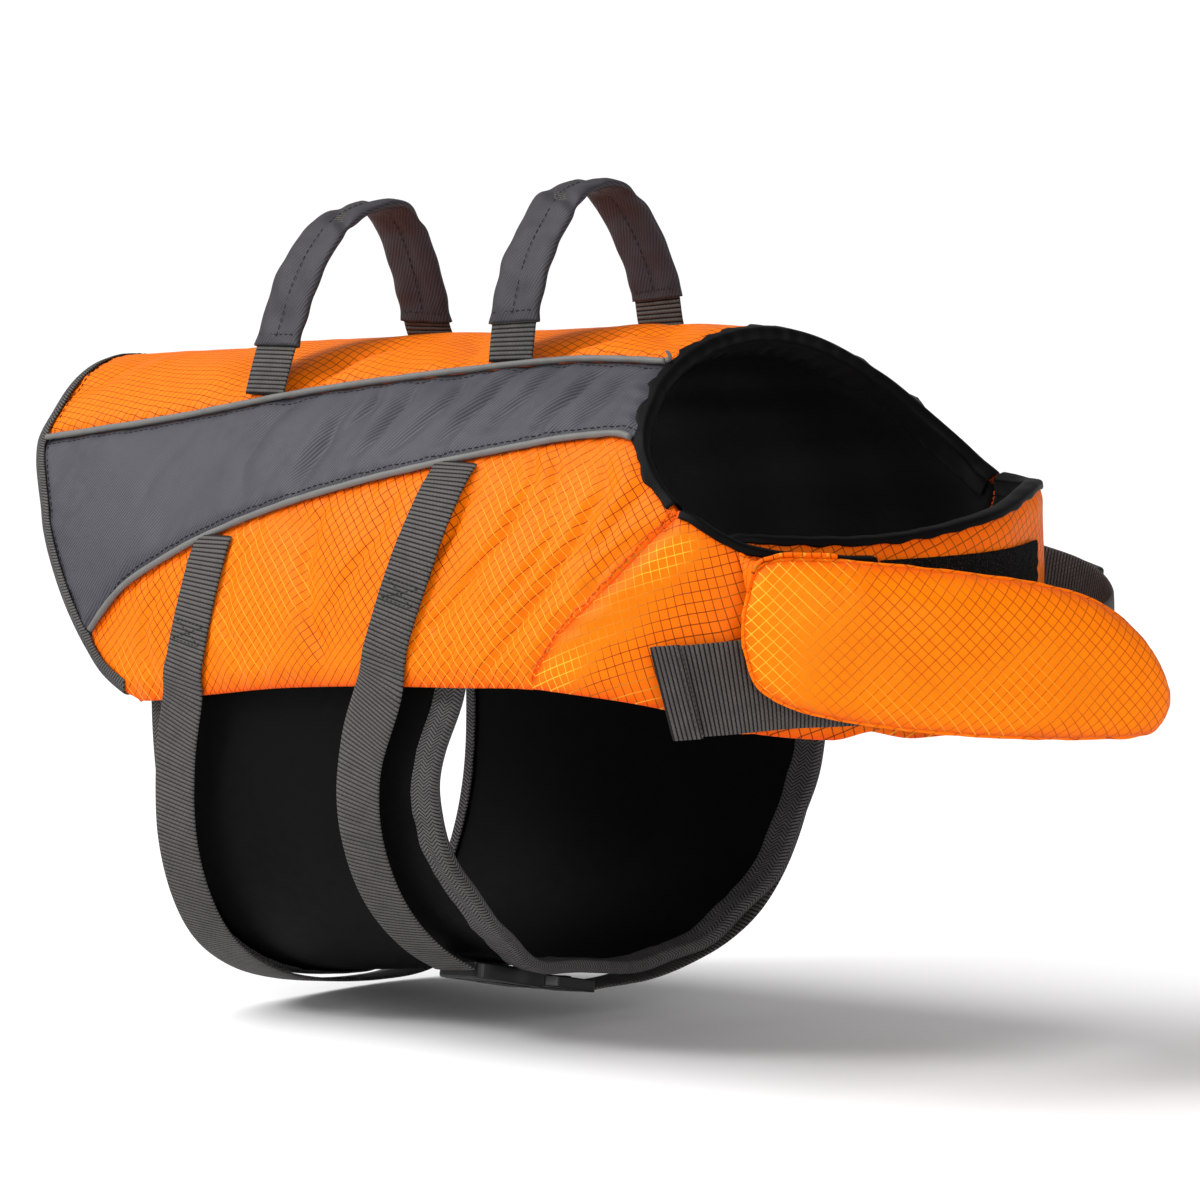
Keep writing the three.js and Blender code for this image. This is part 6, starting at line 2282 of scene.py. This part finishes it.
    def dress(self, made: Piece, points: Array, share: Array, near: Array) -> None:
        """Puts the final points, the cloth map and the marks of painted shade and painted glint into the
        simulated mesh.
        """
        mesh = made.data
        mesh.vertices.foreach_set("co", (points * MM).ravel().astype(np.float32))
        corners = np.zeros(len(mesh.loops), np.int32)
        mesh.loops.foreach_get("vertex_index", corners)
        cloth = np.stack([share * self.length, points[:, 2]], -1)[corners] / CLOTH_UNIT
        for layer in list(mesh.uv_layers):
            mesh.uv_layers.remove(layer)
        uv = mesh.uv_layers.new(name="cloth")
        uv.data.foreach_set("uv", cloth.ravel().astype(np.float32))
        # painted shade near the float's edges, and a painted glint at its left end
        seam = np.exp(-np.maximum(near, 0) / 2.5)
        glint = np.exp(-((share / 0.13) ** 2)) * 0.95
        for label, values in (("seam", seam), ("glint", glint)):
            mark = mesh.attributes.get(label) or mesh.attributes.new(label, "FLOAT", "POINT")
            mark.data.foreach_set("value", values.astype(np.float32))
        mesh.polygons.foreach_set("use_smooth", np.ones(len(mesh.polygons), bool))
        mesh.update()
        fine = made.modifiers.new("fine", "SUBSURF")
        fine.levels = fine.render_levels = 1

    @staticmethod
    def points_of(made: Piece) -> Array:
        """A mesh's points in millimetres."""
        flat = np.zeros(len(made.data.vertices) * 3, np.float32)
        made.data.vertices.foreach_get("co", flat)
        return flat.reshape(-1, 3).astype(float) / MM

    @staticmethod
    def apply(made: Piece) -> None:
        """Turns what the modifiers make into the object's own mesh."""
        view = bpy.context.evaluated_depsgraph_get()
        old = made.data
        mesh = bpy.data.meshes.new_from_object(made.evaluated_get(view))
        made.modifiers.clear()
        made.data = mesh
        if not mesh.materials:
            mesh.materials.append(old.materials[0])

    def rim(self) -> Array:
        """Points round the float's outline, on its middle sheet."""
        share = 0.5 - 0.5 * np.cos(np.pi * np.linspace(0, 1, 150))
        point, _ = self.axis(share)
        upper, lower = point.copy(), point.copy()
        upper[:, 2] = self.outline.read("upper", share)
        lower[:, 2] = self.outline.read("lower", share)
        return evenly(np.vstack([upper, lower[::-1], upper[:1]]), 360)

    def welt(self) -> Body:
        """The narrow seam that stands out all round the float's edge."""
        line = self.rim()[:-1]
        share = self.share_of(line)
        _, out = self.axis(np.clip(share, 0, 1))
        run = unit(np.roll(line, -1, 0) - np.roll(line, 1, 0))
        away = unit(np.cross(run, out))
        centre = line.mean(0)
        away = away * np.sign(((line - centre) * away).sum(-1, keepdims=True))
        turn = 2 * np.pi * np.arange(8) / 8
        width = 1.1 + 0.2 * ripple(travel(line), 20, 105)
        ring = away[:, None] * (np.cos(turn) * width[:, None])[..., None]
        ring = ring + out[:, None] * (np.sin(turn) * 0.6)[:, None]
        rings = line[:, None] + ring
        index = np.arange(rings.shape[0] * 8).reshape(-1, 8)
        closed = np.concatenate([index, index[:1]], 0)
        faces = round_quads(closed)
        cloth = np.stack([rings[..., 0], rings[..., 2]], -1).reshape(-1, 2)[faces]
        # the welt gets an even painted shade and no glint
        marks = {"seam": np.full(index.size, 0.35), "glint": np.zeros(index.size)}
        return Body(rings.reshape(-1, 3), [faces], [cloth], marks)

    def hinge(self) -> Body:
        """The cloth from the right wing's upper edge to the float's, sagging a little."""
        s = self.saddle
        u = np.linspace(0, 1, 40)
        along = mix(232.5, 252, u)
        girth = self.wings.top(RIGHT, along) + mix(4, 9, ease(u * 3)) / s.girth_mm
        root = s.at(along, girth, RIGHT, mix(0.2, 0.6, u) - GAP)
        share = mix(0.008, 0.2, u)
        point, out = self.axis(share)
        point[:, 2] = self.outline.read("upper", share) + 1.9
        head = point + out * 0.5
        v = np.linspace(0, 1, 16)[None]
        sag = 2 * np.sin(np.pi * v) * u[:, None] + 0.5 * ripple(
            u * 30, 9, 107
        )[:, None] * np.sin(np.pi * v)
        grid = root[:, None] + (head - root)[:, None] * v[..., None]
        grid[..., 2] += 0.8 - sag
        cloth = spread_out(grid)
        # the hinge cloth gets an even painted shade and no glint
        return thick(grid, 1.6, cloth, {"seam": 0.25 + 0 * sag, "glint": 0 * sag})

    def patch(self) -> Body:
        """The hook-and-loop patch on the left wing."""
        s = self.saddle
        along, girth = np.meshgrid(np.linspace(250, 296, 50), np.linspace(0.705, 0.85, 24), indexing="ij")
        skin, _, _ = self.wings.depths(LEFT, along, girth, self.wings.top(LEFT, along))
        nap = 0.25 * rumple(s.length(along), girth * s.girth_mm, 4, 109)
        grid = s.at(along, girth, LEFT, skin - GAP - 0.25 - 0.7 + nap)
        return thick(grid, 1.4)

    def build(self) -> None:
        """Makes the float, its welt, its hinge and the patch."""
        w = self.wardrobe
        made = set_in_place(self.swollen("chin_float_pad"), "orange_ripstop", "chin_float")
        orange = "orange_ripstop"
        add("chin_float_welt", self.welt(), w.brightened_float_orange, orange)
        made = add("float_hinge_cloth", self.hinge(), w.wing_orange, orange, "float_hinge")
        made = add("hook_patch_pile", self.patch(), w.pile, "hook_and_loop", "hook_patch")


@dataclass
class SeamStitching:
    """The rows of stitches that show on the saddle and the wings."""

    saddle: Saddle
    wings: ChestWings
    wardrobe: Wardrobe
    from_piping: float = 5.2
    from_tail: float = 8.2

    def on_panel(self, along: Array, girth: Array, side: float, seed: int, **sizes: float) -> Body:
        """A row of stitches on the saddle's cloth, through the given places."""
        s = self.saddle
        depth = s.dressed_depth(along, girth, side, seed)
        line = s.at(along, girth, side, depth - 0.12)
        return stitch_line(line, s.outward(along, girth, np.full(len(along), side)), **sizes)

    def tail_end(self, girth: float, number: int) -> Body:
        """A loose end of thread at the top of the right dart: half a turn of a widening coil."""
        s = self.saddle
        foot = s.at(np.array([s.front(girth) - 1.5]), np.array([girth]), RIGHT, 0.6)[0]
        out = s.outward(np.array([212.0]), np.array([girth]), np.array([RIGHT]))[0]
        t = np.linspace(0, 1, 24)[:, None]
        turn = 3.4 * t + number * 1.3
        side = np.cross(out, [0.0, 0.0, 1.0])
        coil = side * np.cos(turn) + np.array([0.0, 0.0, 1.0]) * np.sin(turn)
        return round_rod(foot + out * (0.2 + 1.6 * t) + coil * 3.2 * t, 0.28, out, 6)

    def piping_end(self) -> Body:
        """The curled end of the right upper piping, turned over the neck rim."""
        s = self.saddle
        along, girth = s.on_seam(s.top, np.array([0.986]))
        foot = s.at(along, girth, RIGHT, s.pinch - GAP - 1.75)[0]
        out = s.outward(along, girth, np.array([RIGHT]))[0]
        turn = np.linspace(0, 2.6, 24)[:, None]
        forward = unit(s.at(along + 1, girth, RIGHT, 0)[0] - s.at(along, girth, RIGHT, 0)[0])
        line = foot + forward * (0.3 + 2.6 * np.sin(turn)) + out * 2.4 * (1 - np.cos(turn))
        radius = np.linspace(1.3, 0.6, 24)
        return round_rod(line, radius, np.cross(out, forward), 10)

    def build(self) -> None:
        """Makes the grey rows beside the pipings, the dart's row and the tape's rows."""
        s, w = self.saddle, self.wardrobe
        share = np.linspace(0.01, 0.985, 400)
        grey, orange, dark = [], [], []
        for side in (RIGHT, LEFT):
            seed = 31 if side < 0 else 37
            for seam, way in ((s.top, 1.0), (s.low, -1.0)):
                along, girth = s.on_seam(seam, share)
                inset = girth + way * self.from_piping / s.girth_mm
                row = self.on_panel(along, inset, side, seed, length=2.6, space=0.9, width=0.55)
                grey.append(row)
            girth = np.linspace(s.dart_top + 0.004, 0.995, 200)
            along = s.front(girth) - 1.6
            wander = 0.5 * ripple(girth * 225, 8, 3)
            seed = 43 if side < 0 else 49
            orange.append(
                self.on_panel(along + wander, girth, side, seed, length=3.0, space=0.5, width=0.8)
            )
            girth = np.linspace(0.02, 0.96, 300)
            along = s.tail(girth) + self.from_tail
            dark.append(self.on_panel(along, girth, side, seed, length=2.6, space=1.3, width=0.45))
        girth = np.linspace(0.645, 0.74, 40)
        along = s.front(girth) + 1.2 + 0.3 * ripple(girth * 225, 9, 4)
        depth = EdgeTape(s).lining_depth(along, girth) + 0.9
        inward = -s.outward(along, girth, np.ones(40))
        orange.append(stitch_line(s.at(along, girth, LEFT, depth), inward, 2.6, 0.6, 0.8))
        orange += [self.tail_end(girth, k) for k, girth in enumerate((0.652, 0.668))]
        add("band_stitching", Body.joined(grey), w.grey_thread, "grey_oxford")
        add("piping_end", self.piping_end(), w.piping, "reflective_piping")
        add("dart_stitching", Body.joined(orange), w.orange_thread, "orange_ripstop")
        add("tail_stitching", Body.joined(dark), w.black_thread, "grey_binding")


# The studio


@dataclass(frozen=True)
class Studio:
    """A pale floor, soft lights and a camera at the photograph's angle."""

    azimuth: float = 42.0
    elevation: float = 5.5
    distance: float = 3.5
    aim: tuple[float, float, float] = (0.092, 0.0, -0.1015)
    lens: float = 236.25
    floor: float = -0.2955

    def back(self) -> Array:
        """Direction from the aim to the camera."""
        a, e = math.radians(self.azimuth), math.radians(self.elevation)
        return np.array([math.sin(a) * math.cos(e), -math.cos(a) * math.cos(e), math.sin(e)])

    def place_camera(self) -> None:
        """Adds the camera, aimed without shift."""
        camera = bpy.data.cameras.new("studio_camera")
        camera.lens, camera.sensor_width = self.lens, 36.0
        camera.clip_end = 50
        holder = bpy.data.objects.new("studio_camera", camera)
        where = np.array(self.aim) + self.back() * self.distance
        turn = Vector(self.back()).to_track_quat("Z", "Y")
        holder.matrix_world = Matrix.LocRotScale(Vector(where), turn, None)
        bpy.context.scene.collection.objects.link(holder)
        bpy.context.scene.camera = holder

    def lamp(self, name: str, where: tuple[float, float, float], size: float, power: float) -> None:
        """A square soft light that faces the jacket."""
        light = bpy.data.lights.new(name, "AREA")
        light.shape, light.size, light.energy = "SQUARE", size, power
        holder = bpy.data.objects.new(name, light)
        turn = (Vector(where) - Vector(self.aim)).to_track_quat("Z", "Y")
        holder.matrix_world = Matrix.LocRotScale(Vector(where), turn, None)
        bpy.context.scene.collection.objects.link(holder)

    @staticmethod
    def window(height: float, way: float, power: float) -> None:
        """A broad, even light from one side that reaches the whole floor."""
        light = bpy.data.lights.new("window_light", "SUN")
        light.energy, light.angle = power, math.radians(48)
        holder = bpy.data.objects.new("window_light", light)
        holder.matrix_world = Matrix.Rotation(way, 4, "Z") @ Matrix.Rotation(math.pi / 2 - height, 4, "X")
        bpy.context.scene.collection.objects.link(holder)

    def lay_floor(self) -> None:
        """A large pale floor just under the jacket."""
        material = bpy.data.materials.new("pale_floor")
        material.use_nodes = True
        nodes = Nodes(material.node_tree)
        shader = material.node_tree.nodes["Principled BSDF"]
        place = nodes.put("ShaderNodeTexCoord").outputs["Object"]
        tone = nodes.noise(place, 3.0, 2.0)
        pale = nodes.blend(tone, (0.93, 0.93, 0.93, 1), (0.97, 0.97, 0.97, 1))
        nodes.feed(shader.inputs["Base Color"], pale)
        shader.inputs["Roughness"].default_value = 0.9
        mesh = bpy.data.meshes.new("studio_floor")
        r, z = 30.0, self.floor
        mesh.from_pydata([(-r, -r, z), (r, -r, z), (r, r, z), (-r, r, z)], [], [(0, 1, 2, 3)])
        mesh.materials.append(material)
        made = bpy.data.objects.new("studio_floor", mesh)
        bpy.context.scene.collection.objects.link(made)

    def build(self) -> None:
        """Sets up the whole studio."""
        self.place_camera()
        bpy.context.scene.view_settings.view_transform = "Standard"
        world = bpy.data.worlds.new("studio_world")
        world.use_nodes = True
        nodes = Nodes(world.node_tree)
        background = world.node_tree.nodes["Background"]
        background.inputs["Color"].default_value = (1, 1, 1, 1)
        seen = nodes.put("ShaderNodeLightPath").outputs["Is Camera Ray"]
        nodes.feed(background.inputs["Strength"], nodes.maths("MULTIPLY_ADD", seen, 0.6, 0.4))
        bpy.context.scene.world = world
        self.window(math.radians(52), math.radians(-52), 2.9)
        self.lamp("key_light", (-1.3, -1.8, 1.2), 0.6, 26)
        self.lamp("fill_light", (2.3, -1.7, 0.5), 1.2, 30)
        self.lay_floor()


def main() -> None:
    """Builds the jacket's sub-assemblies in order, then the studio."""
    logging.basicConfig(level=logging.INFO, format="%(name)s: %(message)s")
    wardrobe, saddle, belly = Wardrobe(), Saddle(), Belly()
    wings = ChestWings(saddle, wardrobe)
    Studio().build()
    for assembly in (
        SaddlePanels(saddle, wardrobe), SaddleTrim(saddle, wardrobe), wings,
        BellyPanel(saddle, belly, wardrobe), Handles(saddle, wardrobe),
        BellyStraps(saddle, belly, wardrobe), ChestStrap(saddle, wardrobe),
        ChinFloat(saddle, wings, wardrobe), SeamStitching(saddle, wings, wardrobe)
    ):
        LOG.info("%s", type(assembly).__name__)
        assembly.build()
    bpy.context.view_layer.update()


if __name__ == "__main__":
    main()
